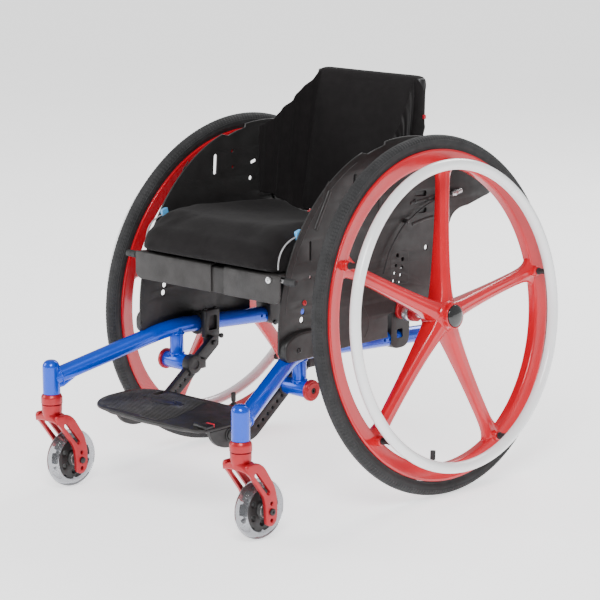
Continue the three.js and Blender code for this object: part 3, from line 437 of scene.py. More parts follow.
def side_plate(outline, x0, x1, holes=(), bevel=0.8, steps=2):
    """A plate drawn in the side view (Y, Z), from x0 to x1."""
    bm = plate(outline, x1 - x0, holes, bevel, steps)
    return turn(bm, Matrix(((0, 0, 1, x0), (1, 0, 0, 0), (0, 1, 0, 0), (0, 0, 0, 1))))


def moved(bm, x=0, y=0, z=0):
    return turn(bm, Matrix.Translation((x, y, z)))


def block(x0, x1, y0, y1, z0, z1, bevel=1.0, steps=2):
    bm = bmesh.new()
    bmesh.ops.create_cube(bm, size=1)
    scale = Matrix.Diagonal((x1 - x0, y1 - y0, z1 - z0, 1))
    turn(bm, Matrix.Translation(((x0 + x1) / 2, (y0 + y1) / 2, (z0 + z1) / 2)) @ scale)
    if bevel:
        bmesh.ops.bevel(bm, geom=bm.edges[:], offset=bevel, segments=steps, profile=0.5,
            affect="EDGES")
    return bm


def joined(*parts):
    """One bmesh from several closed ones."""
    out = bmesh.new()
    for part in parts:
        mesh = bpy.data.meshes.new("part")
        part.to_mesh(mesh)
        out.from_mesh(mesh)
        bpy.data.meshes.remove(mesh)
        part.free()
    return out


def mirrored(bm):
    return turn(bm.copy(), MIRROR)


def carve(bm, *tools):
    """bm with the tools cut away."""
    for tool in tools:
        a, b = as_object(bm, "a"), as_object(tool, "b")
        cutter = a.modifiers.new("cut", "BOOLEAN")
        cutter.operation = "DIFFERENCE"
        cutter.solver = "EXACT"
        cutter.use_self = True
        cutter.object = b
        mesh = fresh_mesh(a)
        bm = bmesh.new()
        bm.from_mesh(mesh)
        for o in (a, b):
            old = o.data
            bpy.data.objects.remove(o)
            bpy.data.meshes.remove(old)
        bpy.data.meshes.remove(mesh)
    return bm


def as_object(bm, name):
    mesh = bpy.data.meshes.new(name)
    bm.to_mesh(mesh)
    bm.free()
    made = bpy.data.objects.new(name, mesh)
    show(made)
    return made


CHAIR = Matrix.Translation((0, SHIFT * MM, 0)) @ Matrix.Scale(MM, 4)


def piece(name, bm, paint, body, *nodes, place=CHAIR, smooth=40):
    """A finished piece from a bmesh in millimetres: painted, riding, in its CAD nodes' place."""
    turn(bm, Matrix.Scale(MM, 4))
    made = as_object(bm, name)
    mesh = made.data
    mesh.materials.append(PAINT[paint])
    mesh.polygons.foreach_set("use_smooth", [True] * len(mesh.polygons))
    mesh.set_sharp_from_angle(angle=radians(smooth))
    made.matrix_world = place @ Matrix.Scale(1 / MM, 4)
    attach(made, body)
    if nodes:
        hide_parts(*nodes)
    return made


def both(name, make, paint, body, *nodes, smooth=40):
    """A piece on the left and its mirror image on the right. body may hold {side}."""
    for side, sign in SIDES:
        bm = make()
        if sign < 0:
            turn(bm, MIRROR)
        own = [n + "_" + side for n in nodes]
        piece(f"{name}_{side}", bm, paint, body.format(side=side), *own, smooth=smooth)


# ---- Rear wheels: in the wheel's own frame Z is the axle, outwards, and Y is up -----------------
HANDRIM_R, HANDRIM_TUBE, HANDRIM_OUT = 255.4, 9.5, 44.8
SPOKES = 5
CAMBER = atan2(JOINT["wheel_spin_left"]["axis"][2], JOINT["wheel_spin_left"]["axis"][0])


def wheel_place(side, sign):
    out = Vector((sign * cos(CAMBER), 0, sin(CAMBER)))
    up = Vector((-sign * sin(CAMBER), 0, cos(CAMBER)))
    across = up.cross(out)
    matrix = Matrix((across, up, out)).transposed().to_4x4()
    matrix.translation = Vector(JOINT["wheel_spin_" + side]["pos_m"])
    return matrix @ Matrix.Scale(MM, 4)


def make_tyre():
    """A tyre with a raised centre line, a fine diamond pattern beside it, and plain side walls."""
    around, steps, lift = 1440, 44, 0.9
    crown_r, crown_w, side_h, wrap = 292.8, 11.6, 11.4, 128
    rows = []
    for i in range(around):
        a = TAU * i / around
        row = []
        for k in range(steps):
            t = radians(-wrap + 2 * wrap * k / (steps - 1))
            r, z = crown_r + crown_w * cos(t), side_h * sin(t)
            share = abs(t) / radians(wrap)
            pattern = cos(144 * a + 12 * t) * cos(144 * a - 12 * t)
            rise = lift * max(0.0, min(1.0, 2.2 * pattern + 0.5))
            if share > 0.62:
                rise = 0.0
            elif share < 0.1:
                rise = lift * 0.8
            r += rise * cos(t)
            z += rise * sin(t)
            row.append((r * cos(a), r * sin(a), z))
        for r, z in ((281.6, 9.0), (281.2, 0), (281.6, -9.0)):
            row.append((r * cos(a), r * sin(a), z))
        rows.append(row)
    return sheet_of(rows, True, True, False)


def make_rim():
    profile = rounded([(281.0, -11.6, 1.2), (278.0, -12.2, 2), (266, -10.2, 6), (252.8, -9.0, 3.5),
        (252.8, 9.0, 3.5), (266, 10.2, 6), (278.0, 12.2, 2), (281.0, 11.6, 1.2)])
    return lathe(profile, 160, closed=True)


# Stations along a spoke: distance out, half width, back, front, half width of the raised face.
SPOKE = ((4, 17, -14, 25.5, 7.5), (22, 17, -14, 25.5, 7), (34, 15, -13, 24.5, 6.6),
    (50, 13.8, -12, 22, 6.3), (90, 12.6, -10.5, 17.5, 5.8), (140, 11.8, -9, 13.8, 5.6),
    (190, 11.8, -8.4, 11.6, 5.6), (222, 12.6, -8.2, 10.8, 6), (238, 15, -8.2, 10.4, 6.6),
    (248, 20, -8.2, 10.2, 7.4), (255, 28, -8.2, 10.0, 8.5), (262, 33, -8.0, 9.6, 9))
SPOKE_START = {"left": -0.16, "right": -0.096}


def make_spoke():
    rows = []
    for r, half, back, front, face in SPOKE:
        edge = front - 4.6
        flank = [(half * 0.45, back), (half * 0.88, back + 1.6), (half, back + 5),
            (half, edge - 2.5), (half * 0.93, edge - 0.2), (face + 1.0, front - 0.9),
            (face - 0.8, front)]
        ring = [(-x, r, z) for x, z in flank] + [(0, r, front - 0.5)]
        rows.append(ring + [(x, r, z) for x, z in reversed(flank)])
    bm = sheet_of(rows)
    bmesh.ops.subdivide_edges(bm, edges=bm.edges[:], cuts=1, use_grid_fill=True, smooth=0.6)
    bmesh.ops.recalc_face_normals(bm, faces=bm.faces)
    return bm


def make_wheel():
    parts = [make_rim()]
    hub = [(0, -24, 0), (20, -24, 2), (22, -16, 3), (31, -12, 4), (33, 8, 8), (26, 24, 8),
        (22.4, 29, 3), (22.2, 38, 2.5), (19.4, 38.4, 0.8), (19.2, 36.5, 0.5), (0, 36.5, 0)]
    parts.append(spun(hub, 72))
    for i in range(SPOKES):
        spin = Matrix.Rotation(i * TAU / SPOKES, 4, "Z")
        parts.append(turn(make_spoke(), spin))
        boss = spun([(0, 2, 0), (9.5, 2, 0), (8.4, 17, 1.5), (5.2, 18.2, 0.6), (0, 18.2, 0)], 28)
        parts.append(turn(moved(boss, 0, HANDRIM_R + 1, 0), spin))
    return joined(*parts)


def make_handrim():
    profile = []
    for k in range(24):
        b = TAU * k / 24
        r = HANDRIM_R + HANDRIM_TUBE * cos(b)
        profile.append((r, HANDRIM_OUT + HANDRIM_TUBE * sin(b)))
    around = [TAU * i / 200 for i in range(200)]
    rows = [[(r * cos(a), r * sin(a), z) for r, z in profile] for a in around]
    return sheet_of(rows, True, True, False)


def make_standoffs():
    parts = []
    for i in range(SPOKES):
        spin = Matrix.Rotation(i * TAU / SPOKES, 4, "Z")
        r = HANDRIM_R + 1
        leg = rod((0, r, 17), (0, r, HANDRIM_OUT - 4), 4.8, 24)
        collar = rod((0, r, 18.2), (0, r, 22), 6.2, 24)
        cup = rod((0, r, HANDRIM_OUT - 13), (0, r, HANDRIM_OUT - 7), 5.6, 24)
        parts += [turn(p, spin) for p in (leg, collar, cup)]
    return joined(*parts)


VALVE_ANGLE = 170.4  # degrees from the top of the left wheel


def make_valve():
    spin = Matrix.Rotation(radians(VALVE_ANGLE) - SPOKE_START["left"], 4, "Z")
    stem = rod((0, 254, 0), (0, 243, 0), 3.2, 20)
    cap = rod((0, 245.5, 0), (0, 229, 0), 4.6, 24, edge=1.2)
    seat = rod((0, 254, 0), (0, 250.5, 0), 6.0, 24)
    return turn(joined(stem, cap, seat), spin)


def make_cap():
    return spun([(0, 37.2, 0), (18.6, 37.2, 0.4), (18.6, 39.6, 1.4), (13, 42.4, 6), (0, 43.8, 0)],
        64)


def rear_wheels():
    meshes = {}
    for side, sign in SIDES:
        place = wheel_place(side, sign)
        body = "wheel_" + side
        for name, make, paint, nodes in (
            ("tyre", make_tyre, "tyre", ("rear_tyre",)),
            ("spoked_wheel", make_wheel, "red", ("mag_wheel",)),
            ("handrim_ring", make_handrim, "pale", ("handrim",)),
            ("handrim_standoffs", make_standoffs, "rubber", ()),
            ("valve", make_valve, "rubber", ()),
            ("cap", make_cap, "gloss", ("hub_cap",)),
        ):
            starts = name in ("spoked_wheel", "handrim_standoffs", "valve")
            own = [n + "_" + side for n in nodes]
            if name in meshes:
                mesh = meshes[name]
                if starts:
                    mesh = mesh.copy()
                    further = SPOKE_START["right"] - SPOKE_START["left"]
                    mesh.transform(Matrix.Rotation(further, 4, "Z"))
                made = bpy.data.objects.new(f"{name}_{side}", mesh)
                show(made)
                made.matrix_world = place @ Matrix.Scale(1 / MM, 4)
                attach(made, body)
                if own:
                    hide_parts(*own)
            else:
                bm = turn(make(), Matrix.Rotation(SPOKE_START["left"] if starts else 0, 4, "Z"))
                made = piece(f"{name}_{side}", bm, paint, body, *own, place=place)
                meshes[name] = made.data
        axle = joined(rod((0, 0, -73), (0, 0, -24.8), 6.3), rod((0, 0, -73), (0, 0, -60), 12.8, 36,
            1.5), rod((0, 0, -59.4), (0, 0, -55), 9.5, 6, 0.6),
            rod((0, 0, -30), (0, 0, -25), 10, 32))
        piece("axle_bolt_" + side, axle, "silver", "chassis", "axle_" + side, place=place)


# ---- Casters ------------------------------------------------------------------------------------
BARREL_Y = JOINT["caster_swivel_left"]["pos_m"][1] / MM - SHIFT
BARREL_X = JOINT["caster_swivel_left"]["pos_m"][0] / MM
CASTER_Y = JOINT["caster_spin_left"]["pos_m"][1] / MM - SHIFT
CASTER_R = JOINT["caster_spin_left"]["pos_m"][2] / MM
BARREL_LOW, BARREL_HIGH = 170.3, 229.0


def make_bearing():
    profile = [(0, 170, 0), (15.5, 170, 0.5), (18.4, 165.5, 2.5), (18.4, 153.2, 1.0),
        (0, 152.4, 0)]
    return moved(spun(profile, 56), BARREL_X, BARREL_Y)


def fork_leg(outer):
    """One leg, drawn in the side view with its long slot and three holes."""
    t = CASTER_Y - BARREL_Y
    outline = rounded([(-13, 136, 6), (-14, 125, 6), (-4, 114, 16), (t - 16, 76, 26),
        (t - 12.5, 60, 10), (t - 11, 29, 10), (t + 2, 25, 9), (t + 12, 34, 10), (t + 14, 62, 14),
        (t + 9, 90, 24), (25, 127, 22), (12, 136, 6)], steps=7)
    holes = [slot_hole(6, 117, t - 7, 83, 7)]
    holes += [circle(t, CASTER_R + dz, 3.1) for dz in (14, -14)]
    x0, x1 = (21.2, 29) if outer > 0 else (-29, -21.2)
    bm = side_plate(outline, x0, x1, holes, bevel=1.4, steps=3)
    return moved(bm, BARREL_X, BARREL_Y)


def make_fork():
    stem = [(0, 151.8, 0), (17.6, 151.8, 0.8), (17.4, 140, 3), (16, 132, 4)]
    stem += [(15, 124.5, 0), (0, 124.5, 0)]
    rows = []
    for k in range(15):
        u = -1 + 2 * k / 14
        x = 27.5 * u
        top = 137 - 9 * abs(u) ** 2.5
        low = 124.5 - 4 * abs(u) ** 3
        reach = 15.5 - 2.0 * abs(u) ** 2
        corners = [(-reach, low, 3), (-reach, top, 4), (reach, top, 4), (reach + 3, low, 3)]
        rows.append([(x, a, z) for a, z in rounded(corners, steps=3)])
    crown = sheet_of(rows)
    head = joined(spun(stem, 56), crown)
    return joined(moved(head, BARREL_X, BARREL_Y), fork_leg(1), fork_leg(-1))


def caster_local(bm):
    """From the caster wheel's own frame, axle along Z, to its place."""
    return turn(bm, Matrix.Translation((BARREL_X, CASTER_Y, CASTER_R)) @ ALONG_X)


def make_caster_tyre():
    r = CASTER_R
    profile = rounded([(37.4, -12.2, 1), (r - 6, -12.4, 5), (r - 0.2, -5.5, 6), (r - 0.2, 5.5, 6),
        (r - 6, 12.4, 5), (37.4, 12.2, 1)], steps=6)
    return caster_local(lathe(profile, 96, closed=True))


def make_caster_hub():
    """A black disc with small notches at its edge, six round hollows and a bearing seat."""
    outline = []
    teeth, steps = 9, 144
    for k in range(steps):
        a = TAU * k / steps
        wave = (teeth * k / steps) % 1.0
        r = 36.9 if wave > 0.22 else 33.2
        outline.append((r * cos(a), r * sin(a)))
    holes = [circle(22.5 * cos(TAU * k / 6), 22.5 * sin(TAU * k / 6), 5.2) for k in range(6)]
    disc = moved(plate(outline, 14, holes, bevel=0.9), z=-7)
    barrel = spun([(0, -18.5, 0), (9, -18.5, 1), (10, -14, 1), (15, -10, 2), (15, 10, 2),
        (10, 14, 1), (9, 18.5, 1), (0, 18.5, 0)], 48)
    return caster_local(joined(disc, barrel))


def make_caster_ring():
    rings = []
    for z in (-14.6, 14.6):
        profile = rounded([(9.6, z - 0.9, 0.3), (9.6, z + 0.9, 0.3), (12.4, z + 0.9, 0.3),
            (12.4, z - 0.9, 0.3)])
        rings.append(lathe(profile, 48, closed=True))
    return caster_local(joined(*rings))


def make_caster_bolt():
    parts = [rod((0, 0, -29), (0, 0, 29), 3.5), rod((0, 0, 29.3), (0, 0, 32.3), 5.8, 32, 0.9),
        rod((0, 0, -32.3), (0, 0, -29.3), 5.8, 6, 0.5)]
    socket = rod((0, 0, 30.8), (0, 0, 34), 2.6, 6, 0.1)
    return caster_local(carve(joined(*parts), socket))


def casters():
    both("bearing_housing", make_bearing, "anodised", "chassis", "caster_bearing")
    both("fork", make_fork, "anodised", "swivel_{side}", "caster_fork")
    both("caster_tread", make_caster_tyre, "clear", "caster_wheel_{side}", "caster_tyre")
    both("caster_disc", make_caster_hub, "plastic", "caster_wheel_{side}", "caster_hub")
    both("caster_ring", make_caster_ring, "silver", "caster_wheel_{side}")
    both("fork_bolt", make_caster_bolt, "coat", "swivel_{side}", "caster_bolt")


# ---- Frame --------------------------------------------------------------------------------------
TUBE_R = 14.3
LEG_Z = 197.0
RAIL_X, BEND_Y, BEND_Z, BEND_REACH = 147.3, -246.0, 266.0, 46.0
RAIL_END_Y, RAIL_END_Z = 72.0, 246.0
STUB_Y, STUB_Z, STUB_OUT = -236.0, 203.0, 171.0
CLAMP_END = 119.0
GUARD_X, GUARD_T, GUARD_R = 163.6, 3.4, 300.0


def rail_z(y):
    return BEND_Z + (RAIL_END_Z - BEND_Z) * (y - BEND_Y) / (RAIL_END_Y - BEND_Y)


def rail_route(step=24):
    start = Vector((BARREL_X, BARREL_Y, LEG_Z))
    corner = Vector((RAIL_X, BEND_Y, BEND_Z))
    end = Vector((RAIL_X, RAIL_END_Y, RAIL_END_Z))
    into = corner + (start - corner).normalized() * BEND_REACH
    out = corner + (end - corner).normalized() * BEND_REACH
    bend = [into * (1 - t) ** 2 + corner * 2 * t * (1 - t) + out * t * t
        for t in (k / step for k in range(step + 1))]
    return [start, *bend, end]


def weld(centre, axis, radius, bead=1.7, steps=44, wave=0.25):
    """A ring of weld round a joint, with small ripples."""
    axis = Vector(axis).normalized()
    side = axis.orthogonal().normalized()
    other = axis.cross(side)
    points = [Vector(centre) + (side * cos(TAU * k / steps) + other * sin(TAU * k / steps))
        * radius for k in range(steps)]
    radii = [bead + wave * sin(k * 2.6) for k in range(steps)]
    return sweep(points, radii, 10, closed=True)


def make_frame_side():
    route = rail_route()
    tube = sweep(route, TUBE_R, 40)
    end, back = route[-1], (route[-2] - route[-1]).normalized()
    tube = carve(tube, sweep([end + back * 45, end - back * 5], TUBE_R - 2, 36),
        *[x_rod(RAIL_X - 30, RAIL_X + 30, y, rail_z(y), 2.6, 20, 0.1) for y in (-39, -26)])
    barrel = spun([(0, BARREL_LOW, 0), (15, BARREL_LOW, 0.8), (15, BARREL_HIGH - 8, 7),
        (9, BARREL_HIGH - 0.6, 5), (0, BARREL_HIGH, 0)], 56)
    leg = (route[1] - route[0]).normalized()
    gusset = sweep([(BARREL_X, BARREL_Y, 184), (BARREL_X - 7, BARREL_Y + 18, 187),
        (BARREL_X - 15, BARREL_Y + 40, 200)], [8, 7, 5], 20)
    stub = rod((RAIL_X, STUB_Y, STUB_Z), (RAIL_X, STUB_Y, rail_z(STUB_Y) - 3), 12, 36)
    cross = x_rod(CLAMP_END, STUB_OUT, STUB_Y, STUB_Z, TUBE_R, 40)
    return joined(tube, moved(barrel, BARREL_X, BARREL_Y), gusset, stub, cross,
        weld(route[0] + leg * 16.5, leg, TUBE_R + GAP),
        weld((RAIL_X, STUB_Y, STUB_Z + TUBE_R - 0.6), (0, 0, 1), 12.4),
        weld((RAIL_X, STUB_Y, rail_z(STUB_Y) - TUBE_R + 0.4), (0, 0, 1), 12.4))


def make_stub_plug():
    flange = spun([(0, STUB_OUT + GAP, 0), (18, STUB_OUT + GAP, 0.6), (18, STUB_OUT + 5.6, 1.2),
        (16.4, STUB_OUT + 7.4, 1), (14, STUB_OUT + 7.4, 0.5), (13.4, STUB_OUT + 9, 0.8),
        (0, STUB_OUT + 9, 0)], 56)
    flange = carve(flange, rod((0, 0, STUB_OUT + 5), (0, 0, STUB_OUT + 20), 5.4, 28, 0.1))
    turn(flange, ALONG_X)
    return moved(flange, 0, STUB_Y, STUB_Z)


def make_plug_screw():
    x = STUB_OUT
    screw = x_rod(x + 1, x + 8.2, STUB_Y, STUB_Z, 5.0, 28)
    return carve(screw, x_rod(x + 6, x + 12, STUB_Y, STUB_Z, 2.6, 6, 0.1))


def make_clamp():
    """The black clamp that hangs the camber tube on the rail."""
    z = AXLE_Z
    outline = rounded([(-24, z + 8, 20), (-24, z - 30, 20), (-24, 234, 22), (22, 234, 22),
        (24, z - 30, 20), (24, z + 8, 20), (12, z + 26, 14), (-12, z + 26, 14)], steps=8)
    body = side_plate(outline, RAIL_X - 21, GUARD_X - GAP, bevel=2.0, steps=3)
    body = carve(body, sweep(rail_route(), TUBE_R + GAP, 40),
        sweep([(RAIL_X - 40, 0, z), (RAIL_X + 40, 0, z)], 16.3, 40),
        block(RAIL_X, GUARD_X + 5, -10, 5, 252, 268, 2.5))
    screws = [x_rod(RAIL_X - 23.5, RAIL_X - 19, y, 238, 4.6, 28) for y in (-12, 12)]
    return joined(body, *screws)


def make_camber_plug():
    x = GUARD_X
    collar = spun([(0, x - 13, 0), (16, x - 13, 0.5), (16, x + 0.4, 0.1), (18, x + 0.4, 0.8),
        (18, x + 6.8, 2), (12, x + 6.8, 0.5), (12, x + 5.5, 0.2), (0, x + 5.5, 0)], 56)
    turn(collar, ALONG_X)
    return moved(collar, 0, 0, AXLE_Z)


def make_red_band():
    """The red anodised receiver between the frame and the wheel."""
    return lathe(rounded([(6.6, -58, 0.3), (12.8, -58, 1), (12.8, -46, 1), (6.6, -46, 0.3)]), 48,
        closed=True)


def chassis():
    both("frame_tube", make_frame_side, "blue", "chassis", "frame_side")
    both("tube_plug", make_stub_plug, "anodised", "chassis", "stub_plug")
    both("plug_screw", make_plug_screw, "coat", "chassis")
    both("rail_clamp", make_clamp, "coat", "chassis", "axle_clamp")
    both("axle_plug", make_camber_plug, "anodised", "chassis", "camber_plug")
    half = GUARD_X - 14
    tube = x_rod(-half, half, 0, AXLE_Z, 16, 56)
    piece("axle_tube", tube, "coat", "chassis", "camber_tube")


# ---- Seat ---------------------------------------------------------------------------------------
PAN_HALF, PAN_FRONT, PAN_BACK, PAN_Z, PAN_DROP = 172.0, -307.0, 44.0, 406.0, 33.0
PAN_WALL, LIP_DEPTH, PAN_SEAM = 3.0, 49.0, 12.0


def pan_z(y):
    return PAN_Z - PAN_DROP * (y - PAN_FRONT) / (PAN_BACK - PAN_FRONT)


def pan_section(inset):
    front = PAN_FRONT + inset
    low = PAN_Z - LIP_DEPTH
    return rounded([(front, low, 1.4), (front, pan_z(front) - inset, 8),
        (PAN_BACK, pan_z(PAN_BACK) - inset, 0.8), (PAN_BACK, pan_z(PAN_BACK) - inset - PAN_WALL,
        0.8), (front + PAN_WALL, pan_z(front) - inset - PAN_WALL, 6),
        (front + PAN_WALL, low, 1.4)], steps=8)


def pan_cutters(sign):
    """What is taken off a pan half: the lip's lower corner, and the room beside the guard."""
    x, z = sign * PAN_HALF, PAN_Z - LIP_DEPTH
    corner = [(x + sign * 2, z - 2), (x + sign * 2, z + 18)]
    for k in range(9):
        t = k / 8
        corner.append((x - sign * 18 * t * t, z + 18 * (1 - t) ** 2 - 0.4 * t))
    corner.append((x - sign * 18, z - 2))
    wedge = turn(plate(corner, 24, bevel=0.05, steps=0),
        Matrix(((1, 0, 0, 0), (0, 0, -1, PAN_FRONT + 15), (0, 1, 0, 0), (0, 0, 0, 1))))
    inner = GUARD_X - GAP
    low, high = sorted((sign * inner, sign * (PAN_HALF + 9)))
    return wedge, block(low, high, PAN_FRONT + PAN_WALL + 0.1, PAN_BACK + 9, 300, PAN_Z + 9, 0)


def make_pan_right():
    return carve(side_plate(pan_section(0), -PAN_HALF, PAN_SEAM, bevel=0.9), *pan_cutters(-1))


def make_pan_left():
    step = PAN_WALL + GAP
    main = side_plate(pan_section(0), PAN_SEAM + 30, PAN_HALF, bevel=0.9)
    main = carve(main, *pan_cutters(1), rod((148, PAN_FRONT - 5, PAN_Z - 10),
        (148, PAN_FRONT + 9, PAN_Z - 10), 2.7, 24, 0.1))
    tongue = side_plate(pan_section(step), PAN_SEAM - 60, PAN_SEAM + 33)
    bridge = side_plate(pan_section(step - 1), PAN_SEAM + 29, PAN_SEAM + 33, bevel=0.4)
    return joined(main, tongue, bridge)


def make_pan_bolt():
    y, z = PAN_FRONT, PAN_Z - 10
    head = rod((148, y - 3.4, z), (148, y + 0.2, z), 5.6, 32, 1.4)
    return carve(head, rod((148, y - 6, z), (148, y - 1.6, z), 2.2, 6, 0.1))


CLOTH = dict(quality=6, mass=0.3, tension_stiffness=9, compression_stiffness=9, shear_stiffness=5,
    bending_stiffness=0.6, use_pressure=True, vertex_group_mass="held")
CLOTH_FRAMES = 20


def swell(made, voxel, cap, pressure, still):
    """Fills a closed form like a stuffed cover, by cloth simulation, and keeps the result.

    still(point in millimetres) is True where the form rests on something and doesn't move.
    """
    scene = bpy.context.scene
    remesh = made.modifiers.new("voxels", "REMESH")
    remesh.mode = "VOXEL"
    remesh.voxel_size = voxel * MM
    mesh = fresh_mesh(made)
    made.modifiers.clear()
    made.data = mesh
    rest = np.empty(len(mesh.vertices) * 3)
    mesh.vertices.foreach_get("co", rest)
    rest = rest.reshape(-1, 3)
    held = made.vertex_groups.new(name="held")
    for vertex in mesh.vertices:
        point = vertex.co / MM
        if still(point.x, point.y - SHIFT, point.z):
            held.add([vertex.index], 1.0, "REPLACE")
    cloth = made.modifiers.new("cloth", "CLOTH")
    for name, value in CLOTH.items():
        setattr(cloth.settings, name, value)
    cloth.settings.uniform_pressure_force = pressure
    cloth.settings.effector_weights.gravity = 0
    cloth.collision_settings.use_collision = False
    cloth.collision_settings.use_self_collision = False
    cloth.point_cache.frame_start, cloth.point_cache.frame_end = 1, CLOTH_FRAMES
    for number in range(1, CLOTH_FRAMES + 1):
        scene.frame_set(number)
    graph = bpy.context.evaluated_depsgraph_get()
    moved_mesh = made.evaluated_get(graph).to_mesh()
    now = np.empty(len(rest) * 3)
    moved_mesh.vertices.foreach_get("co", now)
    made.evaluated_get(graph).to_mesh_clear()
    step = now.reshape(-1, 3) - rest
    length = np.linalg.norm(step, axis=1, keepdims=True)
    step *= np.minimum(1, cap * MM / np.maximum(length, 1e-9))
    made.modifiers.clear()
    scene.frame_set(1)
    rest = rest + step
    mesh.vertices.foreach_set("co", rest.ravel())
    made.vertex_groups.clear()
    mesh.update()


def smoothed(made, rounds=6, factor=0.5):
    bm = bmesh.new()
    bm.from_mesh(made.data)
    for _ in range(rounds):
        bmesh.ops.smooth_vert(bm, verts=bm.verts, factor=factor, use_axis_x=True, use_axis_y=True,
            use_axis_z=True)
    bm.to_mesh(made.data)
    bm.free()


def wrinkled(made, where):
    """Moves points along their normals by where(x, y, z, normal), in millimetres."""
    mesh = made.data
    normals = [v.normal.copy() for v in mesh.vertices]
    for vertex, normal in zip(mesh.vertices, normals):
        p = vertex.co / MM
        vertex.co += normal * where(p.x, p.y - SHIFT, p.z, normal) * MM
    mesh.update()


def finish_cloth(made, levels=1):
    mesh = made.data
    mesh.materials.clear()
    mesh.materials.append(PAINT["cloth"])
    mesh.polygons.foreach_set("use_smooth", [True] * len(mesh.polygons))
    if levels:
        subdivide = made.modifiers.new("smooth", "SUBSURF")
        subdivide.levels = subdivide.render_levels = levels


def bump_at(value, centre, width):
    return exp(-(((value - centre) / width) ** 2))


CUSHION_HALF, CUSHION_T, BOLSTER = 159.5, 70.0, 28.0


def cushion_side(y):
    """Half the cushion's width at y: its front corners are round."""
    inward = max(0, 44 - (y - PAN_FRONT + 16)) / 44
    return CUSHION_HALF - 3 - 24 * (1 - sqrt(1 - min(1, inward) ** 2))


def cushion_form():
    """A contoured pad in rings from front to back, a little smaller than the finished cushion."""
    front, back, steps, across = PAN_FRONT - 16, PAN_BACK - 6, 40, 40
    rows = []
    for k in range(steps + 1):
        y = front + (back - front) * k / steps
        nose = min(1, sqrt((y - front + 6) / 60))
        tail = 1 - 0.2 * (k / steps) ** 8
        bottom = pan_z(max(y, PAN_FRONT)) + 0.4 + (5 if y < PAN_FRONT + 8 else 0)
        raised = BOLSTER * min(1, (y - front) / 120) + 10 * k / steps
        half = cushion_side(y)
        ring = []
        for i in range(across + 1):
            u = 1 - 2 * i / across
            edge = (CUSHION_T - 3) * (1 - 0.42 * u**10) + 7 * (k / steps) ** 3
            ring.append((u * half, y, bottom + (edge + raised * u**4) * nose * tail))
        ring += [((2 * i / across - 1) * half, y, bottom) for i in range(across + 1)]
        rows.append(ring)
    return sheet_of(rows)


def cushion():
    made = piece("seat_cushion", cushion_form(), "cloth", "chassis", "cushion")
    swell(made, 5, 4.0, 4.0, lambda x, y, z: z < pan_z(max(y, PAN_FRONT)) + 8)
    smoothed(made, 5)

    def folds(x, y, z, normal):
        height = z - pan_z(max(y, PAN_FRONT))
        side = bump_at(height, 22, 6) * (0.4 + 0.6 * sin(x * 0.045 + 1))
        drape = sin(x * 0.028 + 0.6 * sin(y * 0.02)) * bump_at(y, PAN_FRONT - 4, 40)
        crown = 0.8 * sin(x * 0.05 + y * 0.021) * sin(y * 0.033 + 1.3)
        return -1.3 * side + 0.9 * drape + crown * max(0, normal.z)

    wrinkled(made, folds)
    finish_cloth(made)
    return made


def make_piping():
    """The light edge of the cushion's cover, which shows at its front corners."""
    parts = []
    low = pan_z(PAN_FRONT) + 6
    for sign in (1, -1):
        points = []
        for k in range(16):
            t = k / 15
            y = PAN_FRONT + 2 * 10 * t * (1 - t) + 12 * (1 - t) ** 2 + 58 * t * t
            z = low + 2 * 44 * t * (1 - t) + 50 * t * t
            points.append((sign * (cushion_side(y) + 2.2), y, z))
        parts.append(sweep(points, 1.3, 10))
    return joined(*parts)


def seat():
    piece("pan_right", make_pan_right(), "pan", "chassis", "seat_pan_right")
    piece("pan_left", make_pan_left(), "pan", "chassis", "seat_pan_left")
    piece("pan_bolt", make_pan_bolt(), "silver", "chassis")
    cushion()
    piece("cushion_edge", make_piping(), "seam", "chassis")


# ---- Side guards --------------------------------------------------------------------------------
def arc_point(angle, radius=GUARD_R):
    return (-radius * cos(angle), AXLE_Z + radius * sin(angle))


def curve_to(points, control, end, steps=6):
    """Adds a curve from the last point to end."""
    start = points[-1]
    for k in range(1, steps + 1):
        t = k / steps
        points.append(tuple(s * (1 - t) ** 2 + c * 2 * t * (1 - t) + e * t * t for s, c,
            e in zip(start, control, end)))


def guard_outline():
    low = 259
    y0, z0 = arc_point(-0.1, GUARD_R + 7)
    line = [(-38, low), (y0 + 22, low)]
    curve_to(line, (y0 + 4, low), (y0 + 1, low + 18))
    line.append((y0, z0))
    for k in range(24):
        a = 0.02 + 1.2 * k / 23
        line.append(arc_point(a, GUARD_R + 5 - 6 * a / 1.24))
    line += [arc_point(1.26, GUARD_R - 9), arc_point(1.33, GUARD_R - 9),
        arc_point(1.41, GUARD_R - 9)]
    line.append(arc_point(1.42, GUARD_R - 3))
    for k in range(22):
        line.append(arc_point(1.46 + 0.99 * k / 21, GUARD_R - 3))
    y1, z1 = arc_point(2.48, GUARD_R - 5)
    line.append((y1, z1))
    curve_to(line, (y1 + 6, z1 - 10), (y1 - 14, z1 - 12))
    line.append((173, 462))
    curve_to(line, (132, 462), (124, 438))
    line += [(88, 379), (74, 330)]
    curve_to(line, (70, 300), (58, 300))
    line.append((-30, 300))
    curve_to(line, (-38, 300), (-38, 292))
    return line


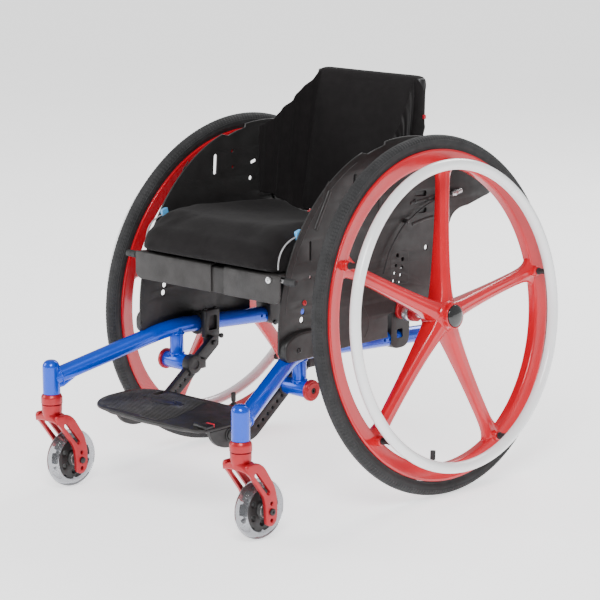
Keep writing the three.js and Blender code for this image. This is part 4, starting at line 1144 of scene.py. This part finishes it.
def make_guard():
    holes = [slot_hole(36, 499, 57, 497, 9), slot_hole(36, 470, 57, 468, 9),
        slot_hole(-122, 519, -120, 547, 8), slot_hole(-229, 421, -229, 450, 4),
        slot_hole(-30, 527, -22, 529, 6)]
    for y, z, r in (
        (61, 402, 4.2),
        (-13, 398, 3.6),
        (0, 390, 3.6),
        (-34, 499, 4),
        (-247, 337, 5),
        (-250, 323.5, 5),
        (-229, 392, 2.5),
        (-244, 351, 3),
        (-79, 552, 3),
        (-78, 524, 3),
    ):
        holes.append(circle(y, z, r, 20))
    for row in range(3):
        for column in range(2):
            holes.append(circle(-17 + 15 * column - 3 * row, 381 - 5 * column - 13 * row, 2.8, 20))
    panel = side_plate(guard_outline(), GUARD_X, GUARD_X + GUARD_T, holes, bevel=0.9, steps=3)
    pocket = side_plate(rounded([(-303, 292, 12), (-303, 259, 22), (-222, 259, 4), (-222, 306, 8),
        (-272, 306, 20)], steps=8), GUARD_X, GUARD_X + 16, bevel=4, steps=4)
    axle_hole = sweep([(GUARD_X - 9, 0, AXLE_Z), (GUARD_X + 9, 0, AXLE_Z)], 18.6, 48)
    return carve(joined(panel, pocket), sweep(rail_route(), TUBE_R + GAP, 40), axle_hole)


def raised(points, width=5.0, height=1.1, x=GUARD_X + GUARD_T - 0.3):
    """A soft raised line on the guard's outer face, along points in the side view."""
    line = [Vector((x, y, z)) for y, z in points]
    return turn(sweep(line, width / 2, 14),
        Matrix.Translation((x, 0, 0)) @ Matrix.Diagonal((2 * height / width, 1, 1, 1))
        @ Matrix.Translation((-x, 0, 0)))


def make_guard_marks():
    """The pressed lines, ribs and raised field on the guard's outer face."""
    outer = [arc_point(0.12 + 1.04 * k / 24, GUARD_R - 9) for k in range(25)]
    inner = [arc_point(0.02 + 0.62 * k / 20, GUARD_R - 175) for k in range(21)]
    low = [(-96 + 10 * sin(k / 3), 268 + 5 * k) for k in range(14)]
    frame_line = rounded([(-30, 404, 9), (-30, 350, 6), (14, 347, 6), (14, 404, 9)], steps=5,
        closed=True)
    return joined(raised(outer, 3.2, 0.7), raised(inner, 3.0, 0.8), raised(low, 2.6, 0.6),
        raised([*frame_line, frame_line[0]], 2.4, 0.5),
        raised([(-217, 470), (-213, 477), (-187, 522), (-183, 529)], 8.5, 3.0),
        raised([(-60, 565), (-59.8, 560), (-58.2, 475), (-58, 470)], 6.5, 2.4),
        raised([(-204, 512), (-196, 532), (-184, 545)], 2.4, 0.6),
        raised([(24, 447), (60, 452), (104, 454)], 6.0, 1.8),
        raised([(20, 484), (58, 486), (100, 492)], 6.0, 1.8))


def screw(x, y, z, radius=4.6, height=2.2):
    head = spun([(0, -0.4, 0), (radius, -0.4, 0.2), (radius, height * 0.6, 0.9),
        (radius * 0.6, height, 0.8), (0, height, 0)], 32)
    head = carve(head, rod((0, 0, height * 0.35), (0, 0, height + 2), radius * 0.42, 6, 0.05))
    return moved(turn(head, ALONG_X), x, y, z)


def guards():
    out = GUARD_X + GUARD_T
    both("guard", make_guard, "plastic", "chassis", "side_guard")
    both("guard_marks", make_guard_marks, "plastic", "chassis")
    both("guard_screws",
        lambda: joined(*[screw(out, y, z) for y, z in ((-79, 552), (-78, 524), (-244, 351))]),
        "anodised", "chassis")
    both("guard_bolts", lambda: joined(screw(out + 12.6, -270, 277, 4.4, 2.4),
        screw(out, 30, 486, 4.2), screw(out, 62, 484, 4.2)), "coat", "chassis")
    clip = rounded([(-258, 470, 4), (-244, 474, 4), (-238, 450, 4), (-250, 444, 4)], steps=5)
    both("cover_clip", lambda: side_plate(clip, GUARD_X - 7.5, GUARD_X - 1.5, bevel=1.5, steps=3),
        "sky", "chassis")


# ---- Footrest -----------------------------------------------------------------------------------
HANGER_X, HANGER_T, HANGER_W = 106.0, 10.0, 23.0
PLATE_HALF, PLATE_Z, PLATE_T = 170.0, 159.5, 5.0
TILT_Y, TILT_Z, TILT_TUBE_R = -378.0, 147.0, 8.0
BAR_TOP, BAR_LOW = (-178.0, 238.0), (-322.0, 130.0)


def bar_outline(width):
    angle = atan2(BAR_TOP[1] - BAR_LOW[1], BAR_TOP[0] - BAR_LOW[0])
    half = width / 2
    side = (-sin(angle) * half, cos(angle) * half)
    return rounded([(BAR_TOP[0] + side[0], BAR_TOP[1] + side[1], 7),
        (BAR_TOP[0] - side[0], BAR_TOP[1] - side[1], 7),
        (BAR_LOW[0] - side[0], BAR_LOW[1] - side[1], 17), (TILT_Y + 6, TILT_Z - half, 7),
        (TILT_Y, TILT_Z + half - 0.5, 0), (BAR_LOW[0] + side[0] + 2, BAR_LOW[1] + side[1] + 4,
        10)], steps=7)


def make_hanger():
    holes = []
    for i in range(7):
        t = 0.14 + i * 0.078
        holes.append(circle(*[low + (top - low) * t for low, top in zip(BAR_LOW, BAR_TOP)], 2.7,
            20))
    bar = side_plate(bar_outline(HANGER_W), HANGER_X, HANGER_X + HANGER_T, holes, bevel=1.2,
        steps=3)
    eye = x_rod(HANGER_X, HANGER_X + HANGER_T, TILT_Y, TILT_Z, HANGER_W / 2, 44, 1.2)
    hole = x_rod(HANGER_X - 9, HANGER_X + 29, TILT_Y, TILT_Z, TILT_TUBE_R + GAP, 36, 0.1)
    return carve(joined(bar, eye), hole)


def make_rail_clamp():
    x0, x1, middle = HANGER_X + HANGER_T + GAP, RAIL_X - TUBE_R - 4.7, BAR_TOP[0]
    z = rail_z(middle)
    low = z - TUBE_R - 7.3
    body = block(x0, x1, middle - 18, middle + 18, low, z + TUBE_R + 14, 3, 3)
    lug = block(x0, x1, middle - 14, middle + 16, low - 14, low + 4, 2.5, 3)
    ends = [(RAIL_X, middle + step, rail_z(middle + step)) for step in (-12, 12)]
    band = rod(*ends, TUBE_R + 6, 48, 2)
    return carve(joined(body, lug, band), sweep(rail_route(), TUBE_R + GAP, 40),
        block(x0 - 5, x1 - 4.7, middle - 10, middle + 10, z - 9, z + 17, 2.5),
        block(GUARD_X - GAP, GUARD_X + 20, middle - 30, middle + 30, z - 40, z + 40, 0))


def make_clamp_bolts():
    x = HANGER_X
    parts = [x_rod(x - 3.4, x + 1, y, z, 4.4, 28, 1.0) for y, z in ((-186, 233), (-169, 243))]
    parts += [rod((x + 16, y, 288), (x + 16, y, 292.6), 3.2, 24) for y in (-190, -166)]
    return joined(*parts)


def make_stub_clamp():
    x0 = HANGER_X - 6
    body = x_rod(x0, CLAMP_END - GAP, STUB_Y, STUB_Z, 16.5, 52, 2.0)
    lug = block(x0, x0 + 18, STUB_Y + 8, STUB_Y + 26, STUB_Z - 10, STUB_Z + 8, 2.5, 3)
    slot = side_plate(bar_outline(HANGER_W + 0.6), x0 + 5.7, x0 + 16.3, bevel=0.1, steps=1)
    face = x_rod(x0 - 2, x0 + 2.0, STUB_Y, STUB_Z, 8.5, 40, 0.2)
    return carve(joined(body, lug), slot, face)


def make_half_moon(x0):
    top = PLATE_Z - GAP
    angles = [pi + pi * k / 40 for k in range(41)]
    outline = [(TILT_Y + 2 + 47 * cos(a), top + 34 * sin(a)) for a in angles]
    hole = circle(TILT_Y, TILT_Z, TILT_TUBE_R + 0.6, 36)
    moon = side_plate(outline, x0, x0 + 8, [hole], bevel=1.2, steps=3)
    ring = x_rod(x0 + 7.5, x0 + 9.5, TILT_Y, TILT_Z, 11.5, 40, 0.6)
    return joined(moon, carve(ring, x_rod(x0, x0 + 20, TILT_Y, TILT_Z, 8.6, 36, 0.1)))


PLATE_NEAR = 128.0  # the plate's hinged end, on the left


def footplate_outline(inset=0.0):
    far, near = PLATE_HALF - inset, PLATE_NEAR - inset
    return rounded([(-far, TILT_Y + 62, 40), (-far + 3, TILT_Y - 20, 46),
        (-far + 40, TILT_Y - 66 + inset, 50), (0, TILT_Y - 73 + inset, 90),
        (near, TILT_Y - 66 + inset, 24), (near, TILT_Y + 70 - inset, 18),
        (near - 20, TILT_Y + 88 - inset, 30), (-far + 46, TILT_Y + 89 - inset, 40)], steps=12)


def inside(x, y, outline):
    hit = False
    for (x0, y0), (x1, y1) in zip(outline, outline[1:] + outline[:1]):
        if (y0 > y) != (y1 > y) and x < x0 + (x1 - x0) * (y - y0) / (y1 - y0):
            hit = not hit
    return hit


LIP_LINE = ((-118, -59), (-88, -65), (0, -70), (82, -65), (116, -60))  # from the tilt axis


def make_footplate():
    base = moved(plate(footplate_outline(), PLATE_T, bevel=1.6, steps=3), z=PLATE_Z)
    ends = (TILT_Y + 52, TILT_Y + 98, PLATE_Z - 20, PLATE_Z + 20, 0)
    base = carve(base, block(HANGER_X - 2, PLATE_NEAR + 9, *ends),
        block(-HANGER_X - HANGER_T - 2, -HANGER_X + 2, *ends))
    nose = sweep([(x, TILT_Y + y, PLATE_Z + 0.6) for x, y in LIP_LINE], [2, 3.6, 3.8, 3.6, 2], 20)
    return joined(base, nose)


RIB_STEP = 6.2
OVAL_X, OVAL_Y = -66, -346  # the middle of the smooth oval


def flat_line(points, radius, height):
    """A low bead on the footplate's top."""
    lift = Matrix.Translation((0, 0, PLATE_Z + PLATE_T - 0.1))
    return turn(sweep(points, radius, 8), lift @ Matrix.Diagonal((1, 1, height, 1)))


def make_footplate_ribs():
    """Grip ribs over the far part of the plate, round a smooth oval, and a few at the near end."""
    border = footplate_outline(9)
    ribs = []
    y = TILT_Y - 62.0
    while y < TILT_Y + 80:
        xs = [x for x in range(-165, 30, 2) if inside(x, y, border) and ((x - OVAL_X) / 44) ** 2
            + ((y - OVAL_Y) / 17) ** 2 > 1 and x < 22 - 0.35 * (y - TILT_Y)
            and not (abs(x + HANGER_X + 5) < 11 and y > TILT_Y + 48)]
        runs = []
        for x in xs:
            if runs and x - runs[-1][1] <= 2:
                runs[-1][1] = x
            else:
                runs.append([x, x])
        for x0, x1 in runs:
            if x1 - x0 > 8:
                line = [(x0, y, 0), (x0 + 3, y, 0), (x1 - 3, y, 0), (x1, y, 0)]
                ribs.append(flat_line(line, [0.5, 1.7, 1.7, 0.5], 0.85))
        y += RIB_STEP
    for scale in (1.0, 0.62):
        ring = []
        for k in range(60):
            x = OVAL_X + 46 * scale * cos(TAU * k / 60)
            y = OVAL_Y + 19 * scale * sin(TAU * k / 60)
            ring.append((x, y, PLATE_Z + PLATE_T - 0.1))
        ribs.append(sweep(ring, 1.0, 8, closed=True))
    for k in range(5):
        x = 84 + 7 * k
        ribs.append(flat_line([(x, TILT_Y - 34, 0), (x, TILT_Y - 6, 0)], 1.3, 0.8))
    return joined(*ribs)


def make_plate_edge():
    """The thin bead along the footplate's front edge."""
    line = [(x, TILT_Y + y - 3.2, PLATE_Z + 2.4) for x, y in LIP_LINE]
    return sweep(line, [0.7, 1.2, 1.3, 1.2, 0.7], 12)


def make_plate_hinge():
    """The latch on the footplate's hinged end, near its front edge."""
    y, z = TILT_Y - 44, PLATE_Z + PLATE_T
    arm = block(PLATE_NEAR - 22, PLATE_NEAR - 1, y - 12, y + 8, z - 0.3, z + 6, 2.2, 3)
    barrel = x_rod(PLATE_NEAR - 34, PLATE_NEAR - 2, y - 4, z + 1.5, 5.2, 36, 1.2)
    return joined(arm, barrel)


def footrest():
    both("hanger_bar", make_hanger, "coat", "chassis", "footrest_hanger")
    both("hanger_clamp", make_rail_clamp, "plastic", "chassis", "hanger_rail_clamp")
    both("hanger_bolts", make_clamp_bolts, "coat", "chassis")
    both("round_clamp", make_stub_clamp, "plastic", "chassis", "hanger_stub_clamp")
    for side, moon in (
        ("left", make_half_moon(HANGER_X + HANGER_T + 2.5)),
        ("right", mirrored(make_half_moon(HANGER_X - 11))),
    ):
        piece("half_moon_" + side, moon, "plastic", "footplate_tilt", "footplate_bracket_" + side)
    end = HANGER_X + HANGER_T
    bar = x_rod(-end - 3, end + 14, TILT_Y, TILT_Z, TILT_TUBE_R, 40)
    piece("tilt_tube", bar, "coat", "chassis", "footplate_cross_tube")
    piece("foot_board", make_footplate(), "pan", "footplate_tilt", "footplate")
    piece("foot_board_ribs", make_footplate_ribs(), "pan", "footplate_tilt")
    piece("foot_board_edge", make_plate_edge(), "coat", "footplate_tilt")
    piece("foot_board_latch", make_plate_hinge(), "coat", "footplate_tilt")
    tag = block(PLATE_NEAR - 20, PLATE_NEAR - 3, TILT_Y - 38, TILT_Y - 33, PLATE_Z + 4.6,
        PLATE_Z + 11.6, 1.2)
    piece("foot_board_tag", tag, "dot", "footplate_tilt")


# ---- Back ---------------------------------------------------------------------------------------
POST_X, POST_R = 113.0, 10.0
PIVOT_Y, PIVOT_Z = 88.0, 452.0
POST_TOP_Y, POST_TOP_Z = 104.0, 686.0
COVER_LOW, COVER_HIGH = PIVOT_Z + 17, POST_TOP_Z + 5


def post_y(z):
    return PIVOT_Y + (POST_TOP_Y - PIVOT_Y) * (z - PIVOT_Z) / (POST_TOP_Z - PIVOT_Z)


def cover_face(z):
    return 52 + 38 * (z - COVER_LOW) / (COVER_HIGH - COVER_LOW)


def make_post():
    low = PIVOT_Z - 6
    post = rod((POST_X, post_y(low), low), (POST_X, POST_TOP_Y, POST_TOP_Z), POST_R, 36, 2.5)
    eye = x_rod(POST_X - 8, POST_X + 8, PIVOT_Y, PIVOT_Z, 15, 44, 1.5)
    hole = x_rod(POST_X - 20, POST_X + 20, PIVOT_Y, PIVOT_Z, 5.6, 32, 0.1)
    return carve(joined(post, eye), hole)


def make_bracket():
    outline = rounded([(20, 510, 8), (20, 456, 12), (66, 428, 16), (112, 434, 16), (112, 470, 16),
        (78, 510, 12)], steps=7)
    holes = [circle(30, 486, 3, 24), circle(62, 484, 3, 24), slot_hole(40, 455, 58, 450, 6)]
    panel = side_plate(outline, GUARD_X - 3.2, GUARD_X - GAP, holes, bevel=0.7)
    arm = x_rod(POST_X + POST_R + 1.5, GUARD_X - 2, PIVOT_Y, PIVOT_Z, 12, 40, 1.2)
    pin = x_rod(POST_X - 8, POST_X + 12, PIVOT_Y, PIVOT_Z, 5, 32)
    return joined(panel, arm, pin)


def cover_form():
    """The padded back: rings up its height, rounded at the top corners."""
    z0, z1, steps = COVER_LOW - 30, COVER_HIGH + 2, 46
    rows = []
    for k in range(steps + 1):
        s = k / steps
        z = z0 + (z1 - z0) * s
        near_top = max(0, (z - (z1 - 26)) / 26)
        shrink = 12 * (1 - sqrt(max(0, 1 - near_top**2)))
        half = 126 - 1.5 * s - shrink
        thin = 1.5 + 7 * (1 - sqrt(max(0, 1 - near_top**4)))
        front, back = cover_face(z) + thin, post_y(z) + POST_R + 2.5 - thin * 0.3
        ring = []
        for i in range(31):
            u = 1 - 2 * i / 30
            ring.append((u * half, front + 5 * (1 - u * u) - 1.5 * abs(u) ** 3, z))
        for i in range(31):
            u = -1 + 2 * i / 30
            ring.append((u * half, back + 1.5 * (1 - u**4), z))
        rows.append(ring)
    return sheet_of(rows)


def back_cover():
    made = piece("back_cover_pad", cover_form(), "cloth", "backrest", "back_cover")
    swell(made, 5, 2.5, 3.0, lambda x, y, z: z < COVER_LOW - 23)
    smoothed(made, 3)

    def folds(x, y, z, normal):
        face = max(0, -normal.y)
        hang = sin(x * 0.062 + 0.35 * sin(z * 0.03)) * (0.35 + 0.65 * bump_at(z, 520, 60))
        hem = bump_at(z, COVER_HIGH - 17, 2.6) + bump_at(abs(x), 109, 2.6)
        low = sin(x * 0.11 + z * 0.05) * bump_at(z, 495, 26)
        return face * (1.3 * hang + 1.2 * low) - 1.2 * hem * (face > 0.3)

    wrinkled(made, folds)
    finish_cloth(made)


def make_hem_marks():
    """The small red woven mark at the cover's rear outer edge."""
    z = 620
    return block(122, 126.2, post_y(z) + 1, post_y(z) + 7, z - 3.5, z + 3.5, 0.6)


# Stations along a wing: out from the middle, along the chair at its foot and top, foot, top.
WING = ((108, 60, 94, 434, 687), (119, 48, 70, 436, 664), (130, 36, 43, 444, 639),
    (139, 17, 20, 458, 616), (146, 0, 0, 468, 600), (150, -26, -26, 474, 592))


def wing_form():
    """A fabric side from the cover's edge forward along the guard, with upright folds."""
    rows = []
    count, heights = 60, 34
    for k in range(count + 1):
        s = k / count * (len(WING) - 1)
        index = min(len(WING) - 2, int(s))
        t = s - index
        a, b = WING[index], WING[index + 1]
        x, y_low, y_high, low, top = [p + (q - p) * t for p, q in zip(a, b)]
        share = k / count
        calm = min(1, share * 4) * min(1, (1 - share) * 5)
        front, rear = [], []
        for i in range(heights + 1):
            h = i / heights
            z = low + (top - low) * h
            y = y_low + (y_high - y_low) * h
            wave = 3.0 * sin(share * 22 + 1.4 * h) * calm * (1 - 0.35 * h)
            wave += 1.1 * sin(share * 41 + 4 * h + 1) * calm
            thick = 5.4 * max(0.2, 1 - abs(2 * h - 1) ** 12) * min(1, 0.3 + (1 - share) * 12)
            front.append((x + wave, y - 0.5 * wave, z))
            rear.append((x + wave + thick, y - 0.5 * wave + 0.4 * thick, z))
        rows.append([*front, *reversed(rear)])
    return sheet_of(rows)


def wings():
    for side, sign in SIDES:
        bm = wing_form()
        if sign < 0:
            turn(bm, MIRROR)
        turn(bm, CHAIR)
        made = as_object(bm, "back_side_" + side)
        finish_cloth(made)
        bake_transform(made)
        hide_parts("back_wing_" + side)


def back():
    both("post", make_post, "coat", "backrest", "back_post")
    both("pivot_bracket", make_bracket, "coat", "chassis", "back_bracket")
    z = PIVOT_Z + 6
    reach = POST_X - POST_R - GAP
    bar = x_rod(-reach, reach, post_y(z), z, 7, 36, 1)
    piece("crossbar", bar, "coat", "backrest", "back_crossbar")
    back_cover()
    both("hem_mark", make_hem_marks, "dot", "backrest")
    wings()


# ---- Wheel locks and cable ----------------------------------------------------------------------
LOCK_Y, LOCK_Z, LOCK_OUT = PAN_FRONT + 8, 396.0, 201.0


def lock_line(x0, x1, radius, edge=0.8, sides=32):
    return x_rod(x0, x1, LOCK_Y, LOCK_Z, radius, sides, edge)


def make_lock_guide():
    holder = block(140, 156, PAN_FRONT + PAN_WALL + 0.8, LOCK_Y + 10, LOCK_Z - 9, LOCK_Z + 4.3,
        1.2)
    return carve(holder, lock_line(120, 170, 3.6, 0.1))


def make_lock_tip():
    tip = spun([(0, LOCK_OUT - 23.7, 0), (6, LOCK_OUT - 23.7, 0.8), (6, LOCK_OUT - 15, 0.3),
        (5.3, LOCK_OUT - 14, 0.3), (6, LOCK_OUT - 13, 0.3), (6, LOCK_OUT - 3, 1.5),
        (4.6, LOCK_OUT - 0.6, 2), (0, LOCK_OUT, 0)], 40)
    return moved(turn(tip, ALONG_X), 0, LOCK_Y, LOCK_Z)


def wheel_locks():
    both("lock_holder", make_lock_guide, "coat", "chassis", "lock_guide")
    both("lock_bar", lambda: lock_line(90, LOCK_OUT - 24, 3), "silver", "lock_{side}", "lock_rod")
    both("lock_end", make_lock_tip, "rubber", "lock_{side}", "lock_tip")


def cable():
    x = GUARD_X + GUARD_T + 6
    route = [(x, 120, 488), (x, 93, 486), (x, 51, 476), (x, 20, 462), (x, -6, 448), (x, -39, 411),
        (x, -57, 372)]
    pts = [Vector(p) for p in route]
    pts = [pts[0] * 2 - pts[1], *pts, pts[-1] * 2 - pts[-2]]
    line = []
    for i in range(1, len(pts) - 2):
        a, b, c, d = pts[i - 1 : i + 3]
        for k in range(10):
            t = k / 10
            line.append(0.5 * (2 * b + (c - a) * t + (2 * a - 5 * b + 4 * c - d) * t**2
                + (3 * b - a - 3 * c + d) * t**3))
    line.append(pts[-2])
    piece("latch_cable", sweep(line, 1.5, 16), "rubber", "chassis", "release_cable")
    clips = []
    for index in (12, 36):
        p = line[index]
        clips.append(block(GUARD_X + GUARD_T - 0.2, x + 2.4, p.y - 3, p.y + 3, p.z - 3.4,
            p.z + 3.4, 1.1))
    piece("cable_clips", joined(*clips), "plastic", "chassis")
    a, b = Vector((x, 120.3, 488)), Vector((x, 146, 492))
    barrel = joined(rod(a, b, 4, 32), rod(a.lerp(b, 0.3), a.lerp(b, 0.52), 5.3, 6, 0.5),
        *[rod(a.lerp(b, 0.62 + 0.09 * k), a.lerp(b, 0.66 + 0.09 * k), 4.5, 32, 0.3)
        for k in range(4)])
    piece("cable_screw", barrel, "silver", "chassis", "cable_adjuster")


# ---- Everything ---------------------------------------------------------------------------------
PAINT.update(make_paints())
make_camera()
make_studio()
rear_wheels()
for side_name, side_sign in SIDES:
    piece("receiver_" + side_name, make_red_band(), "anodised", "chassis",
        place=wheel_place(side_name, side_sign))
casters()
chassis()
seat()
guards()
footrest()
back()
wheel_locks()
cable()
